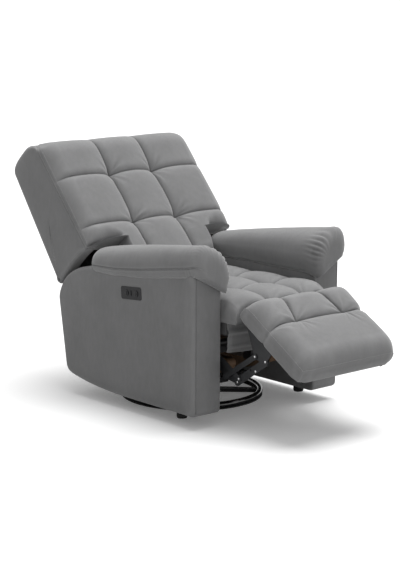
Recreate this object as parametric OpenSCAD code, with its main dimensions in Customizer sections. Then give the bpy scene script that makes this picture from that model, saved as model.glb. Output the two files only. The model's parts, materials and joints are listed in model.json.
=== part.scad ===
// Power swivel recliner on a ring base, facing -Y, with the swivel axis on Z and the floor at Z = 0.
// The footrest is out and the back is laid back, as the chair stands in use.

/* [Chair] */
// Width over the two arm panels
chair_w = 760; // [720:5:820]
// Width of one arm panel
arm_w = 134; // [115:1:150]
// Room for the links between the side plates' inner face and the arms
link_room = 29; // [28.5:0.5:32]
// Gap between soft covers and the pieces beside them
soft_gap = 0.6; // [0.4:0.1:1.5]
// Gap between flat hard faces on one body
seat_gap = 0.3; // [0.2:0.05:0.5]
// Radial clearance of running pins
run_gap = 0.06; // [0.03:0.01:0.1]

/* [Ring base] */
// Radius of the ring's tube centre line
ring_r = 276; // [260:1:300]
// Radius of the ring's tube
ring_tube_r = 12.5; // [10:0.5:14]
// Height of the rubber strip under the ring
strip_h = 5; // [3:0.5:8]
// Width of the rubber strip
strip_w = 22; // [18:1:24]
// Width of one arm of the star at the ring
star_tip_w = 30; // [22:1:40]
// Width of one arm of the star at the hub
star_root_w = 46; // [36:1:56]
// Thickness of the star's arms
star_h = 14; // [10:1:18]
// Radius of the hub
hub_r = 74; // [64:1:84]
// Height of the hub's top
hub_top_z = 33; // [31:0.5:36]
// Radius of the king pin
king_pin_r = 10; // [8:0.5:12]
// Radius of the bearing balls
ball_r = 4; // [3:0.25:5]
// Radius of the circle of balls
ball_circle_r = 58; // [50:1:62]
// Number of balls
ball_count = 16; // [8:2:20]
// Thickness of each bearing race
race_t = 6; // [5:0.5:8]
// Width of each bearing race
race_w = 20; // [16:1:24]

/* [Rocker base] */
// Side of the square plate on the bearing
turn_plate_w = 210; // [190:5:250]
// Thickness of that plate
turn_plate_t = 5; // [4:0.5:6]
// Length of each rocker rail
rail_l = 380; // [340:10:420]
// Width of each rocker rail
rail_w = 34; // [28:1:38]
// Height of each rocker rail
rail_h = 36; // [30:1:42]
// Distance of each rail and cam in from the side plates
rail_inset = 102; // [98:1:106]
// Wall of the rocker rails
rail_wall = 3; // [2:0.5:4]
// Width of the crossbars
crossbar_w = 40; // [30:1:46]
// Height of the crossbars
crossbar_h = 16; // [12:1:20]
// Distance of each crossbar from the middle
crossbar_y = 84; // [74:1:88]

/* [Rocker cams] */
// Radius of the cam's rolling edge
cam_roll_r = 920; // [800:10:1100]
// Thickness of each cam
cam_w = 40; // [30:1:44]
// Reach of the cams ahead of the swivel axis
cam_front = 366; // [340:1:380]
// Reach of the cams behind the swivel axis
cam_rear = 240; // [200:5:260]
// Height of the cams' flat top
cam_top_z = 226; // [216:1:230]
// Wire radius of the rocker springs
spring_wire_r = 2.2; // [1.5:0.1:2.6]
// Coil radius of the rocker springs
spring_r = 14; // [11:0.5:16]
// Turns of each rocker spring
spring_turns = 6; // [4:1:7]
// Distance of the springs outwards from the rails' middle
spring_out = 41; // [39:0.5:43]
// Distance of the springs ahead of and behind the middle
spring_y = 110; // [90:5:130]

/* [Steel frame] */
// Thickness of steel plates and links
steel_t = 3; // [2.5:0.25:3.5]
// Step from one layer of links to the next
layer_step = 4.5; // [4.2:0.1:5]
// Side of the square cross tubes
cross_tube_w = 25; // [20:1:30]
// Wall of the square cross tubes
cross_tube_wall = 2; // [1.5:0.25:3]
// Front cross tube, ahead of the middle
cross_front_y = 250; // [235:1:260]
// Rear cross tube, behind the middle
cross_rear_y = 205; // [190:1:215]

/* [Seat] */
// Height of the seat rails' underside
seat_rail_z = 346; // [340:1:350]
// Height of the seat rails
seat_rail_h = 50; // [44:1:56]
// Width of the side rails
seat_rail_w = 39; // [30:1:40]
// Thickness of the front and rear rails
seat_rail_t = 24; // [18:1:28]
// Front face of the seat frame, ahead of the middle
seat_frame_front = 440; // [430:1:445]
// Depth of the front rail's board
front_rail_h = 92; // [80:1:100]
// Gauge of the zigzag springs
wire_t = 3.6; // [3:0.2:4.4]
// Number of zigzag springs under the seat
seat_wires = 5; // [4:1:6]
// Height of the seat's seams
seat_seam_z = 486; // [470:1:495]
// Rise of the seat's blocks above the seams
seat_crown = 34; // [20:1:42]
// Depth of the tufts below the seams
seat_tuft = 7; // [2:1:12]
// Distance of the seat's column seams from the middle
seat_seam_x = 92; // [80:1:105]
// Front edge of the seat's top, ahead of the middle
seat_front = 551; // [545:0.5:552]
// Front edge of the seat's underside
seat_under_front = 530; // [522:0.5:532]
// Rear edge of the seat, behind the middle
seat_rear = 106; // [80:1:108]

/* [Front cloth] */
// Lower edge of the cloth under the seat's front
valance_z = 268; // [262:1:290]
// Thickness of that cloth
valance_t = 9; // [6:0.5:12]
// Depth of its folds
valance_fold = 7; // [3:0.5:10]
// Gap between that cloth's sides and the first layer of links
valance_side = 2; // [1:0.5:20]

/* [Arms] */
// Front face of the arms, ahead of the middle
arm_front = 446; // [436:1:456]
// Rear of the arms at the shoulder, behind the middle
arm_shoulder_y = 394; // [380:1:400]
// Height where the shoulder's round ends
arm_shoulder_z = 392; // [370:1:400]
// Rear of the arms at the foot, behind the middle
arm_heel_y = 345; // [330:1:360]
// Height of the arms' underside at the front
arm_bottom_z = 50; // [46:1:56]
// Height of the arms' underside at the heel
arm_heel_z = 92; // [80:1:100]
// Height of the arms' top at the front
arm_top_front_z = 596; // [580:1:604]
// Height of the arms' top where the shoulder starts
arm_top_rear_z = 540; // [528:1:546]
// Start of the shoulder's round, behind the middle
arm_top_rear_y = 200; // [190:1:215]
// Round of the arms' outer edges
arm_edge_r = 12; // [6:1:13]
// Radius of the feet under the arms
glide_r = 21; // [16:1:26]
// Gap between the feet and the floor
glide_lift = 14; // [10:1:18]
// Distance of the feet ahead of the middle
glide_y = 300; // [270:5:340]

/* [Arm pads] */
// Overhang of the pads past the arms' outer side
pad_over_out = 13; // [6:1:18]
// Overhang of the pads past the arms' inner side
pad_over_in = 26; // [14:1:30]
// Front of the pads, ahead of the middle
pad_front = 477; // [465:1:485]
// Rear of the pads, behind the middle
pad_rear = 170; // [150:1:180]
// Height of the pads' crown at the front
pad_top_front_z = 694; // [670:1:705]
// Height of the pads' crown at the rear
pad_top_rear_z = 614; // [600:1:630]
// Rise of the pads' crown between its ends
pad_bow = 12; // [0:1:20]
// Height of the pads' outer edge at the front
pad_edge_front_z = 590; // [575:1:600]
// Height of the pads' outer edge at the rear
pad_edge_rear_z = 524; // [515:1:535]
// Height of the pads' inner edge
pad_inner_z = 524; // [522:1:540]

/* [Back] */
// Lean of the back from upright, in degrees
back_lean = 41.2; // [36:0.2:44]
// Back pivot, behind the middle
back_pivot_y = 70; // [66:1:76]
// Height of the back pivot
back_pivot_z = 385; // [381:1:388]
// Radius of the back's pivot pins
back_pin_r = 8; // [6:0.5:9]
// Length of the back from its pivot to its top
back_top = 800; // [770:1:820]
// Lower end of the back between the arms, from the pivot
back_bottom = 122; // [120:1:130]
// Lower end of the back's wings, from the pivot
wing_bottom = 257; // [255:1:275]
// Side seam of the back, ahead of the pivot
back_seam = 55; // [53:1:60]
// Rise of the back's padding from its side seams
back_puff = 30; // [16:1:36]
// Distance from the seams in which that padding rises
back_roll = 60; // [40:1:80]
// Rise of the back's blocks above that padding
back_crown = 22; // [12:1:30]
// Depth of the back's tufts
back_tuft = 20; // [8:1:26]
// Round of the back's top front edge
back_top_r = 55; // [30:1:58]
// Distance of the back's column seams from the middle
back_seam_x = 112; // [104:1:120]
// Lower row seam of the back, from the pivot
back_row_low = 336; // [325:1:345]
// Upper row seam of the back, from the pivot
back_row_high = 570; // [555:1:585]
// Depth behind the pivot at the back's top
back_rear_top = 154; // [140:1:165]
// Depth behind the pivot at the wings' lower tip
back_rear_low = 214; // [205:1:220]
// Width of each wing
wing_w = 60; // [50:1:64]
// Round of the wings' outer edges
wing_edge_r = 8; // [4:1:10]
// Thickness of the padded covers behind and on top
cover_t = 18; // [14:1:22]

/* [Footrest] */
// Slope of the footrest below level, in degrees
foot_slope = 32; // [30:0.5:33]
// Rear lower corner of the footrest, ahead of the middle
foot_hinge_y = 545; // [544:0.5:548]
// Height of that corner
foot_hinge_z = 439; // [436:0.5:441]
// Length of the footrest
foot_l = 372; // [350:1:385]
// Height of the footrest's side band
foot_band = 40; // [34:1:46]
// Rise of its padding above the band
foot_puff = 55; // [30:1:60]
// Distance from its edges in which that padding rises
foot_roll = 70; // [40:1:90]
// Rise of its blocks above that padding
foot_crown = 16; // [8:1:24]
// Depth of its tufts
foot_tuft = 8; // [4:1:18]
// Length of the tufted row
foot_row = 152; // [140:1:165]
// Distance of its column seams from the middle, at the crease
foot_seam_x = 122; // [110:1:130]
// Distance of its column seams from the middle, at its rear
foot_seam_rear_x = 88; // [80:1:110]
// Thickness of the footrest's board
board_t = 14; // [10:1:16]
// Margin of cushion round the board
board_margin = 24; // [16:1:34]

/* [Footrest links] */
// Drive pivot on the side plate, ahead of the middle
drive_y = 330; // [329:0.5:331]
// Height of the drive pivot
drive_z = 290; // [289:0.5:291]
// Guide pivot on the side plate, ahead of the middle
guide_y = 356.9; // [356:0.1:358]
// Height of the guide pivot
guide_z = 300.7; // [300:0.1:302]
// Knee where the front link meets the carrier, ahead of the middle
knee_y = 518; // [516:0.5:520]
// Height of the knee
knee_z = 181; // [179:0.5:183]
// Pivot of the guide link on the carrier, ahead of the middle
tail_y = 531; // [529:0.5:533]
// Height of that pivot
tail_z = 197; // [195:0.5:199]
// Pivot of the control link on the front link, ahead of the middle
heel_y = 456.7; // [455:0.1:458]
// Height of that pivot
heel_z = 190.9; // [189:0.1:193]
// Pivot of the carrier on the footrest bracket, ahead of the middle
toe_y = 672; // [670:0.5:674]
// Height of that pivot
toe_z = 287; // [285:0.5:289]
// Pivot of the control link on the footrest bracket, ahead of the middle
brace_y = 622; // [620:0.5:624]
// Height of that pivot
brace_z = 299; // [297:0.5:301]
// Radius of the link pins
link_pin_r = 4; // [3:0.25:4.5]
// Half the width of the slim links
link_half_w = 10; // [8:0.5:11]
// Half the width of the carrier links
carrier_half_w = 15; // [12:0.5:17]
// Radius of the spare hole in the carrier links
spare_hole_r = 4.5; // [3:0.5:6]
// Radius of the torque tube between the front links
torque_r = 11; // [9:0.5:12]
// Play of the two pins that close the loops of links
loop_play = 3.6; // [3.4:0.1:5]
// Height of the rivets' heads
rivet_h = 1.4; // [0.8:0.1:1.5]
// Radius of the rivets' heads
rivet_r = 6.5; // [5:0.5:8]

/* [Drive] */
// Width of the drive's rail
track_w = 24; // [18:1:30]
// Height of the drive's rail
track_h = 18; // [14:1:20]
// Reach of the drive's rail ahead of the middle
track_front = 385; // [375:1:395]
// Rear end of the drive's rail, behind the middle
track_rear = 118; // [105:1:125]
// Length of the sliding block
block_l = 44; // [36:1:48]
// Arm of the torque tube's lug
lug_l = 48; // [44:1:52]
// Radius of the motor
motor_r = 24; // [20:1:26]
// Length of the motor
motor_l = 74; // [60:1:80]

/* [Switch] */
// Length of the switch plate
switch_l = 122; // [110:1:130]
// Height of the switch plate
switch_h = 50; // [44:1:54]
// How far the plate stands proud of the arm
switch_t = 4; // [3:0.5:5]
// Depth of the switch box in the arm
switch_box_d = 18; // [14:1:24]
// Switch centre, ahead of the middle
switch_y = 82; // [60:1:110]
// Height of the switch centre
switch_z = 475; // [460:1:485]
// Slope of the switch plate, in degrees
switch_slope = 4.7; // [0:0.1:7]
// Radius of the two buttons
button_r = 12.5; // [10:0.5:14]
// Distance of each button from the switch's centre
button_y = 29; // [20:1:32]
// Travel of the buttons
button_travel = 1.5; // [1:0.1:2]
// How far the buttons stand proud of the plate
button_proud = 2.4; // [2:0.1:3]

/* [Hidden] */
$fn = 64;

// Overrun of cuts past the faces they open
cut = 2;
right = -1;
left = 1;
steel = "#2b2c2f";
fabric = "#77797c";
timber = "#a67c52";

// Widths, each from the arms inwards or outwards
arm_in_x = chair_w / 2 - arm_w;
plate_x = arm_in_x - link_room;
rail_x = plate_x - rail_inset;
spring_x = rail_x + spring_out;
crossbar_l = 2 * rail_x + rail_w;
valance_half_w = plate_x + layer_step - valance_side;
pad_outer = chair_w / 2 + pad_over_out;
pad_inner = arm_in_x - pad_over_in;

// Heights of the turning parts, each standing on the one before
ring_z = strip_h + ring_tube_r - 0.04 * ring_tube_r;
star_z = ring_z - star_h / 2;
ball_gap = ball_r * 0.04;
lower_race_z = hub_top_z;
ball_z = lower_race_z + race_t - ball_r * 0.4 + ball_gap + ball_r;
upper_race_z = ball_z + ball_r + ball_gap - ball_r * 0.4;
turn_plate_z = upper_race_z + race_t;
crossbar_z = turn_plate_z + turn_plate_t;
rail_z = crossbar_z + crossbar_h;
rail_top_z = rail_z + rail_h;
// The cams stand clear of the rails by what they sink as they rock
cam_lift = 1;
cam_low_z = rail_top_z + cam_lift;
cam_centre_z = cam_low_z + cam_roll_r;
cross_tube_z = cam_top_z + seat_gap;

// Layers of the links, counted outwards from the side plate
function layer_x(n) = plate_x + n * layer_step;
// The footrest's board ends at its brackets, and its cushion reaches past them
foot_w = 2 * (layer_x(3) - soft_gap + board_margin);

// Steps of the soft forms along and across each block
block_steps = 6;
edge_steps = 3;

function lerp(a, b, t) = a + (b - a) * t;
function clamp01(t) = min(1, max(0, t));
// Quarter round that rises from 0 to 1
function ease(t) = sqrt(1 - pow(1 - clamp01(t), 2));
// Points on a quadratic curve through a and c, drawn towards b
function bend(a, b, c, n) = [for (i = [0:n]) lerp(lerp(a, b, i / n), lerp(b, c, i / n), i / n)];
// Positions that cut each span between edges into equal steps
function spans(edges, n) = concat(
  [for (i = [0:len(edges) - 2], j = [0:n - 1]) lerp(edges[i], edges[i + 1], j / n)],
  [edges[len(edges) - 1]]);
// Place within its span, from -1 at one edge to 1 at the other
function place_in(v, edges, i = 0) =
  (v <= edges[i + 1] || i == len(edges) - 2)
    ? 2 * (v - edges[i]) / (edges[i + 1] - edges[i]) - 1
    : place_in(v, edges, i + 1);
// Swell of a sewn block, from 0 on its seams to 1 in the middle
function swell(a, b) = (1 - pow(abs(a), 3)) * (1 - pow(abs(b), 3));
// Pull of the tufts, 1 at each and fading over a reach
function pull(x, y, xs, ys, reach) =
  max([for (px = xs, py = ys) exp(-(pow(x - px, 2) + pow(y - py, 2)) / pow(reach, 2))]);

// Closed skin through a row of loops that all have the same number of points
module skin(loops) {
  n = len(loops[0]);
  m = len(loops);
  ends = [for (loop = [loops[0], loops[m - 1]])
    [for (k = [0:2]) lerp(min([for (p = loop) p[k]]), max([for (p = loop) p[k]]), 0.5)]];
  points = concat([for (loop = loops) each loop], ends);
  sides = [for (j = [0:m - 2], i = [0:n - 1]) let (a = j * n + i, b = j * n + (i + 1) % n)
    each [[a, b, b + n], [a, b + n, a + n]]];
  first = [for (i = [0:n - 1]) [(i + 1) % n, i, n * m]];
  last = [for (i = [0:n - 1]) [(m - 1) * n + i, (m - 1) * n + (i + 1) % n, n * m + 1]];
  polyhedron(points, concat(sides, first, last), convexity = 6);
}

// Closed outline moved inwards by a distance, point by point
function inset(outline, depth) = let (n = len(outline)) [for (i = [0:n - 1]) let (
    along = outline[(i + 1) % n] - outline[(i + n - 1) % n])
  outline[i] + depth * [-along[1], along[0]] / norm(along)];

// Upholstered panel between two x positions, with a rounded outer edge
module soft_panel(outline, in_x, out_x, edge_r) {
  steps = 4;
  skin(concat([[for (p = outline) [in_x, p[0], p[1]]]],
    [for (i = [0:steps]) let (turn = 90 * i / steps)
      [for (p = inset(outline, edge_r * (1 - cos(turn)))) [out_x - edge_r * (1 - sin(turn)), p[0], p[1]]]]));
}

// Draws a flat outline, given as [y, z], as a plate that grows outwards from x
module on_x(x, thickness) {
  translate([x, 0, 0]) rotate([90, 0, 90]) linear_extrude(thickness) children();
}

module on_side(side) {
  mirror([side == right ? 1 : 0, 0, 0]) children();
}

module both_sides() {
  for (side = [right, left]) on_side(side) children();
}

// Cylinder across the chair at [y, z], growing outwards from x
module pin_x(x, length, radius, at) {
  translate([x, at[0], at[1]]) rotate([0, 90, 0]) cylinder(r = radius, h = length);
}

// Outline of a straight link between two pins
module link_2d(a, b, half_w) {
  turn = atan2(b[1] - a[1], b[0] - a[0]);
  reach = norm(b - a);
  translate(a) rotate(turn) {
    translate([0, -half_w]) square([reach, 2 * half_w]);
    circle(half_w);
    translate([reach, 0]) circle(half_w);
  }
}

module rod(a, b, radius) {
  turn = atan2(b[1] - a[1], b[0] - a[0]);
  translate([a[0], a[1], 0]) rotate(turn) translate([0, -radius]) square([norm(b - a), 2 * radius]);
}

// Flat zigzag band of even width, running along X from 0 to its length, with level ends
module zigzag_2d(length, swing, waves, width) {
  steps = 12 * waves;
  mid = [for (i = [0:steps]) [length * i / steps, swing * cos(360 * waves * i / steps)]];
  normal = [for (i = [0:steps]) let (slope = -swing * sin(360 * waves * i / steps) * 2 * PI * waves / length)
    [-slope, 1] / norm([-slope, 1])];
  polygon(concat([for (i = [0:steps]) mid[i] + normal[i] * width / 2],
    [for (i = [steps:-1:0]) mid[i] - normal[i] * width / 2]));
}

// Ring base

module floor_strip() color("#1c1c1d") {
  rotate_extrude() translate([ring_r - strip_w / 2, 0]) square([strip_w, strip_h]);
}

module ring_tube() color("#151517") {
  difference() {
    translate([0, 0, ring_z]) rotate_extrude() translate([ring_r, 0]) circle(ring_tube_r);
    cylinder(r = ring_r + ring_tube_r + cut, h = strip_h);
  }
}

module star_base() color(steel) {
  reach = ring_r - ring_tube_r - seat_gap;
  difference() {
    union() {
      translate([0, 0, star_z]) cylinder(r = hub_r, h = hub_top_z - star_z);
      intersection() {
        translate([0, 0, star_z]) cylinder(r = reach, h = star_h);
        translate([0, 0, star_z]) linear_extrude(star_h) for (turn = [45:90:315]) rotate(turn)
          polygon([[0, -star_root_w / 2], [reach + cut, -star_tip_w / 2],
            [reach + cut, star_tip_w / 2], [0, star_root_w / 2]]);
      }
    }
    cylinder(r = king_pin_r + seat_gap, h = hub_top_z + cut);
  }
}

module race(z, groove_up) {
  difference() {
    translate([0, 0, z]) rotate_extrude() translate([ball_circle_r - race_w / 2, 0]) square([race_w, race_t]);
    translate([0, 0, ball_z]) rotate_extrude() translate([ball_circle_r, 0]) circle(ball_r + ball_gap);
  }
}

module lower_race() color("#8d9093") race(lower_race_z);

module bearing_balls() color("#c9ccd0") {
  for (i = [0:ball_count - 1]) rotate(360 * i / ball_count)
    translate([ball_circle_r, 0, ball_z]) sphere(ball_r, $fn = 32);
}

pin_head_h = race_t;
module king_pin() color("#8d9093") {
  translate([0, 0, star_z]) cylinder(r = king_pin_r, h = crossbar_z + seat_gap - star_z);
  translate([0, 0, crossbar_z + seat_gap]) cylinder(r = king_pin_r * 1.8, h = pin_head_h);
  translate([0, 0, star_z - pin_head_h / 2]) cylinder(r = king_pin_r * 1.8, h = pin_head_h / 2);
}

// Turning rocker base

module upper_race() color("#8d9093") race(upper_race_z);

module turn_plate() color(steel) {
  difference() {
    translate([-turn_plate_w / 2, -turn_plate_w / 2, turn_plate_z])
      cube([turn_plate_w, turn_plate_w, turn_plate_t]);
    translate([0, 0, turn_plate_z - cut])
      cylinder(r = king_pin_r + run_gap, h = turn_plate_t + 2 * cut);
  }
}

module crossbar(y) color(steel) {
  translate([-crossbar_l / 2, y - crossbar_w / 2, crossbar_z]) cube([crossbar_l, crossbar_w, crossbar_h]);
}

module crossbar_front() crossbar(-crossbar_y);
module crossbar_rear() crossbar(crossbar_y);

module rocker_rail(side) color(steel) on_side(side) {
  difference() {
    translate([rail_x - rail_w / 2, -rail_l / 2, rail_z]) cube([rail_w, rail_l, rail_h]);
    translate([rail_x - rail_w / 2 + rail_wall, -rail_l / 2 - cut, rail_z + rail_wall])
      cube([rail_w - 2 * rail_wall, rail_l + 2 * cut, rail_h - 2 * rail_wall]);
  }
  for (y = [-spring_y, spring_y]) translate([rail_x + rail_w / 2, y - spring_r - rail_wall, spring_low_z - rail_wall])
    cube([spring_x + spring_r + rail_wall - rail_x - rail_w / 2, 2 * (spring_r + rail_wall), rail_wall]);
}

module rocker_rail_left() rocker_rail(left);
module rocker_rail_right() rocker_rail(right);

// Coil springs between the rails and the cams
spring_low_z = rail_top_z - rail_h / 3;
spring_high_z = cam_top_z - 3 * rail_wall;
function coil(turns, radius, wire, low, high, rings = 8, sides = 6) = [
  for (i = [0:turns * rings]) let (
    turn = 360 * i / rings,
    z = lerp(low, high, i / (turns * rings)),
    rise = atan2(high - low, turns * 2 * PI * radius))
    [for (k = [0:sides - 1]) let (u = wire * cos(360 * k / sides), v = wire * sin(360 * k / sides))
      [(radius + u) * cos(turn) + v * sin(rise) * sin(turn),
       (radius + u) * sin(turn) - v * sin(rise) * cos(turn),
       z + v * cos(rise)]]];
spring_ends = spring_wire_r + seat_gap;
spring_pitch = (spring_high_z - spring_low_z - 2 * spring_ends) / spring_turns;
echo(least_gap_of_rocker_springs = spring_pitch * cos(atan2(spring_pitch, 2 * PI * spring_r)) - 2 * spring_wire_r);
module rocker_springs() color("#8d9093") {
  for (x = [-spring_x, spring_x], y = [-spring_y, spring_y]) translate([x, y, 0])
    skin(coil(spring_turns, spring_r, spring_wire_r, spring_low_z + spring_ends, spring_high_z - spring_ends));
}

// Rocker cams and steel frame

cam_end_r = (cam_top_z - cam_low_z) / 5;
function cam_edge_z(y) = cam_centre_z - sqrt(pow(cam_roll_r, 2) - pow(y, 2));
module rocker_cam(side) color(timber) on_side(side) {
  low = [for (i = [0:24]) let (y = lerp(-cam_front + cam_end_r / 2, cam_rear - cam_end_r / 2, i / 24)) [y, cam_edge_z(y)]];
  front = bend([-cam_front + cam_end_r, cam_top_z], [-cam_front, cam_top_z], [-cam_front, cam_top_z - cam_end_r], 5);
  rear = bend([cam_rear, cam_top_z - cam_end_r], [cam_rear, cam_top_z], [cam_rear - cam_end_r, cam_top_z], 5);
  on_x(rail_x - cam_w / 2, cam_w) polygon(concat(front, low, rear));
  spring_perch();
}

// Steel ears that press on the rocker springs
module spring_perch() {
  for (y = [-spring_y, spring_y])
    translate([rail_x + cam_w / 2, y - spring_r - rail_wall, spring_high_z])
      cube([spring_x + spring_r + rail_wall - rail_x - cam_w / 2, 2 * (spring_r + rail_wall), rail_wall]);
}

module rocker_cam_left() rocker_cam(left);
module rocker_cam_right() rocker_cam(right);

module cross_tube(y) color(steel) {
  inner = cross_tube_w - 2 * cross_tube_wall;
  reach = 2 * (plate_x - seat_gap);
  difference() {
    translate([-reach / 2, y - cross_tube_w / 2, cross_tube_z]) cube([reach, cross_tube_w, cross_tube_w]);
    translate([-reach / 2 - cut, y - inner / 2, cross_tube_z + cross_tube_wall])
      cube([reach + 2 * cut, inner, inner]);
  }
}

module cross_tube_front() cross_tube(-cross_front_y);
module cross_tube_rear() cross_tube(cross_rear_y);

drive = [-drive_y, drive_z];
guide = [-guide_y, guide_z];
knee = [-knee_y, knee_z];
tail = [-tail_y, tail_z];
heel = [-heel_y, heel_z];
toe = [-toe_y, toe_z];
brace = [-brace_y, brace_z];
back_pivot = [back_pivot_y, back_pivot_z];
seat_top_z = seat_rail_z + seat_rail_h;
plate_margin = 22;
pivot_boss = 24;

module side_plate(side) color(steel) on_side(side) {
  front = -guide_y - plate_margin;
  rear = cross_rear_y + plate_margin;
  low = cross_tube_z - plate_margin / 6;
  waist = drive_z - plate_margin;
  difference() {
    union() {
      on_x(plate_x, steel_t) polygon([
        [front, waist], [-cross_front_y - plate_margin, low], [rear, low],
        [rear, low + 2 * plate_margin], [back_pivot_y + pivot_boss, back_pivot_z],
        [back_pivot_y + pivot_boss, seat_top_z], [front, seat_top_z]]);
      on_x(plate_x, steel_t) translate(back_pivot) circle(pivot_boss);
    }
    pin_x(plate_x - cut, steel_t + 2 * cut, torque_r + run_gap, drive);
    pin_x(plate_x - cut, steel_t + 2 * cut, back_pin_r + run_gap, back_pivot);
  }
  pin_x(plate_x, layer_x(3) + steel_t - plate_x, link_pin_r, guide);
}

module side_plate_left() side_plate(left);
module side_plate_right() side_plate(right);

// Seat

rail_inner_x = plate_x - seat_gap - seat_rail_w;
rail_rear = back_pivot_y - 2 * pivot_boss;
module seat_rail(side) color(timber) on_side(side) {
  translate([rail_inner_x, -seat_frame_front, seat_rail_z])
    cube([seat_rail_w, seat_frame_front + rail_rear, seat_rail_h]);
}

module seat_rail_left() seat_rail(left);
module seat_rail_right() seat_rail(right);

module seat_rail_front() color(timber) {
  translate([-rail_inner_x + seat_gap, -seat_frame_front, seat_top_z - front_rail_h])
    cube([2 * (rail_inner_x - seat_gap), seat_rail_t, front_rail_h]);
}

module seat_rail_rear() color(timber) {
  translate([-rail_inner_x + seat_gap, rail_rear - seat_rail_t, seat_rail_z])
    cube([2 * (rail_inner_x - seat_gap), seat_rail_t, seat_rail_h]);
}

wire_swing = 18;
module seat_wires() color("#6f7276") {
  pitch = 2 * (rail_inner_x - wire_swing) / seat_wires;
  for (i = [0:seat_wires - 1]) translate([pitch * (i + 0.5 - seat_wires / 2), -seat_frame_front, seat_top_z])
    rotate(90) linear_extrude(wire_t)
      zigzag_2d(seat_frame_front + rail_rear, wire_swing, 7, wire_t);
}

// Loop of a sewn cushion: a flat underside, upright sides and a top that follows its heights
function cushion_loop(xs, tops, y, under, side_z, half_w, bulge) = concat(
  [[-half_w, y, under], [-half_w - bulge, y, lerp(under, side_z, 0.5)]],
  [for (i = [0:len(xs) - 1]) [xs[i], y, tops[i]]],
  [[half_w + bulge, y, lerp(under, side_z, 0.5)], [half_w, y, under]]);

seat_bulge = 3;
seat_low_z = seat_top_z + wire_t + soft_gap;
seat_half_w = arm_in_x - 2 * soft_gap - seat_bulge;
seat_columns = [-seat_half_w, -seat_seam_x, seat_seam_x, seat_half_w];
seat_rows = [-seat_front, lerp(-seat_front, seat_rear, 0.34), lerp(-seat_front, seat_rear, 0.68), seat_rear];
seat_fall = 10;
// Room at the seat's rear corners for the back's brackets
notch_x = plate_x - 4 * steel_t;
notch_y = back_pivot_y - 1.25 * pivot_boss;
module seat_cushion() color(fabric) {
  xs = spans(seat_columns, block_steps);
  ys = spans(seat_rows, block_steps);
  tuft_reach = seat_seam_x / 3;
  difference() {
    skin([for (y = ys) let (
    t = (y - seat_rows[0]) / (seat_rows[3] - seat_rows[0]),
    fall = seat_fall * t,
    tops = [for (x = xs) seat_seam_z - fall
      - (1 - ease((y - seat_rows[0]) / seat_crown)) * seat_tuft * 1.5
      + seat_crown * swell(place_in(x, seat_columns), place_in(y, seat_rows))
      - seat_tuft * pull(x, y, [-seat_seam_x, seat_seam_x], [seat_rows[0], seat_rows[1], seat_rows[2]], tuft_reach)])
    [for (p = cushion_loop(xs, tops, y, seat_low_z, seat_seam_z, seat_half_w, seat_bulge))
      // The underside starts behind the top's front edge
      [p[0], max(p[1], lerp(-seat_under_front, -seat_front,
        clamp01((p[2] - seat_low_z - seat_crown) / (seat_seam_z - seat_low_z - 1.6 * seat_crown)))), p[2]]]]);
    both_sides() translate([notch_x, notch_y, seat_low_z - cut])
      cube([arm_in_x - notch_x, seat_rear - notch_y + cut, seat_seam_z]);
  }
}

// Cloth that hangs under the seat's front, folded across
cloth_front = seat_frame_front + valance_t + valance_fold + soft_gap;
module front_cloth() color(fabric) {
  rows = 18;
  xs = [for (i = [0:8]) lerp(-valance_half_w, valance_half_w, i / 8)];
  top_z = seat_low_z - 2 * soft_gap;
  skin([for (x = xs) let (
    face = [for (i = [0:rows]) let (
      t = i / rows,
      z = lerp(valance_z, top_z, t),
      drape = valance_fold * sin(360 * 3 * t + 30 * cos(180 * x / valance_half_w)) * 0.5 * (1 - 0.5 * t))
      [z, cloth_front - valance_t / 2 + drape]])
    concat([for (p = face) [x, -p[1] - valance_t / 2, p[0]]],
      [for (i = [rows:-1:0]) [x, -seat_frame_front - soft_gap, face[i][0]]])]);
}

// Arms

bracket_l = 46;
bracket_h = 40;
module arm_brackets() color(steel) {
  both_sides() for (y = [-crossbar_y - bracket_l, cross_rear_y - bracket_l - plate_margin / 2])
    translate([plate_x + steel_t + seat_gap, y, seat_rail_z - bracket_h])
      cube([arm_in_x - plate_x - steel_t - 2 * seat_gap, bracket_l, bracket_h]);
}

arm_round = 14;
heel_round = 26;
function arm_outline() = concat(
  bend([-arm_front, arm_bottom_z + arm_round], [-arm_front, arm_bottom_z], [-arm_front + arm_round, arm_bottom_z], 4),
  bend([lerp(-arm_front, arm_heel_y, 0.5), arm_bottom_z],
    [lerp(-arm_front, arm_heel_y, 0.78), arm_bottom_z],
    [arm_heel_y - heel_round, arm_heel_z - heel_round * 0.3], 6),
  bend([arm_heel_y - heel_round, arm_heel_z - heel_round * 0.3], [arm_heel_y, arm_heel_z],
    [lerp(arm_heel_y, arm_shoulder_y, 0.08), arm_heel_z + heel_round], 4),
  bend([arm_shoulder_y, arm_shoulder_z],
    [lerp(arm_top_rear_y, arm_shoulder_y, 0.86), lerp(arm_shoulder_z, arm_top_rear_z, 0.8)],
    [arm_top_rear_y, arm_top_rear_z], 10),
  bend([-arm_front + arm_round, arm_top_front_z], [-arm_front, arm_top_front_z],
    [-arm_front, arm_top_front_z - arm_round], 4));

module arm(side) color(fabric) {
  difference() {
    on_side(side) soft_panel(arm_outline(), arm_in_x, chair_w / 2, arm_edge_r);
    if (side == right) at_switch() translate([-cut, 0, 0]) switch_pocket(soft_gap);
  }
}

module arm_left() arm(left);
module arm_right() arm(right);

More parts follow.
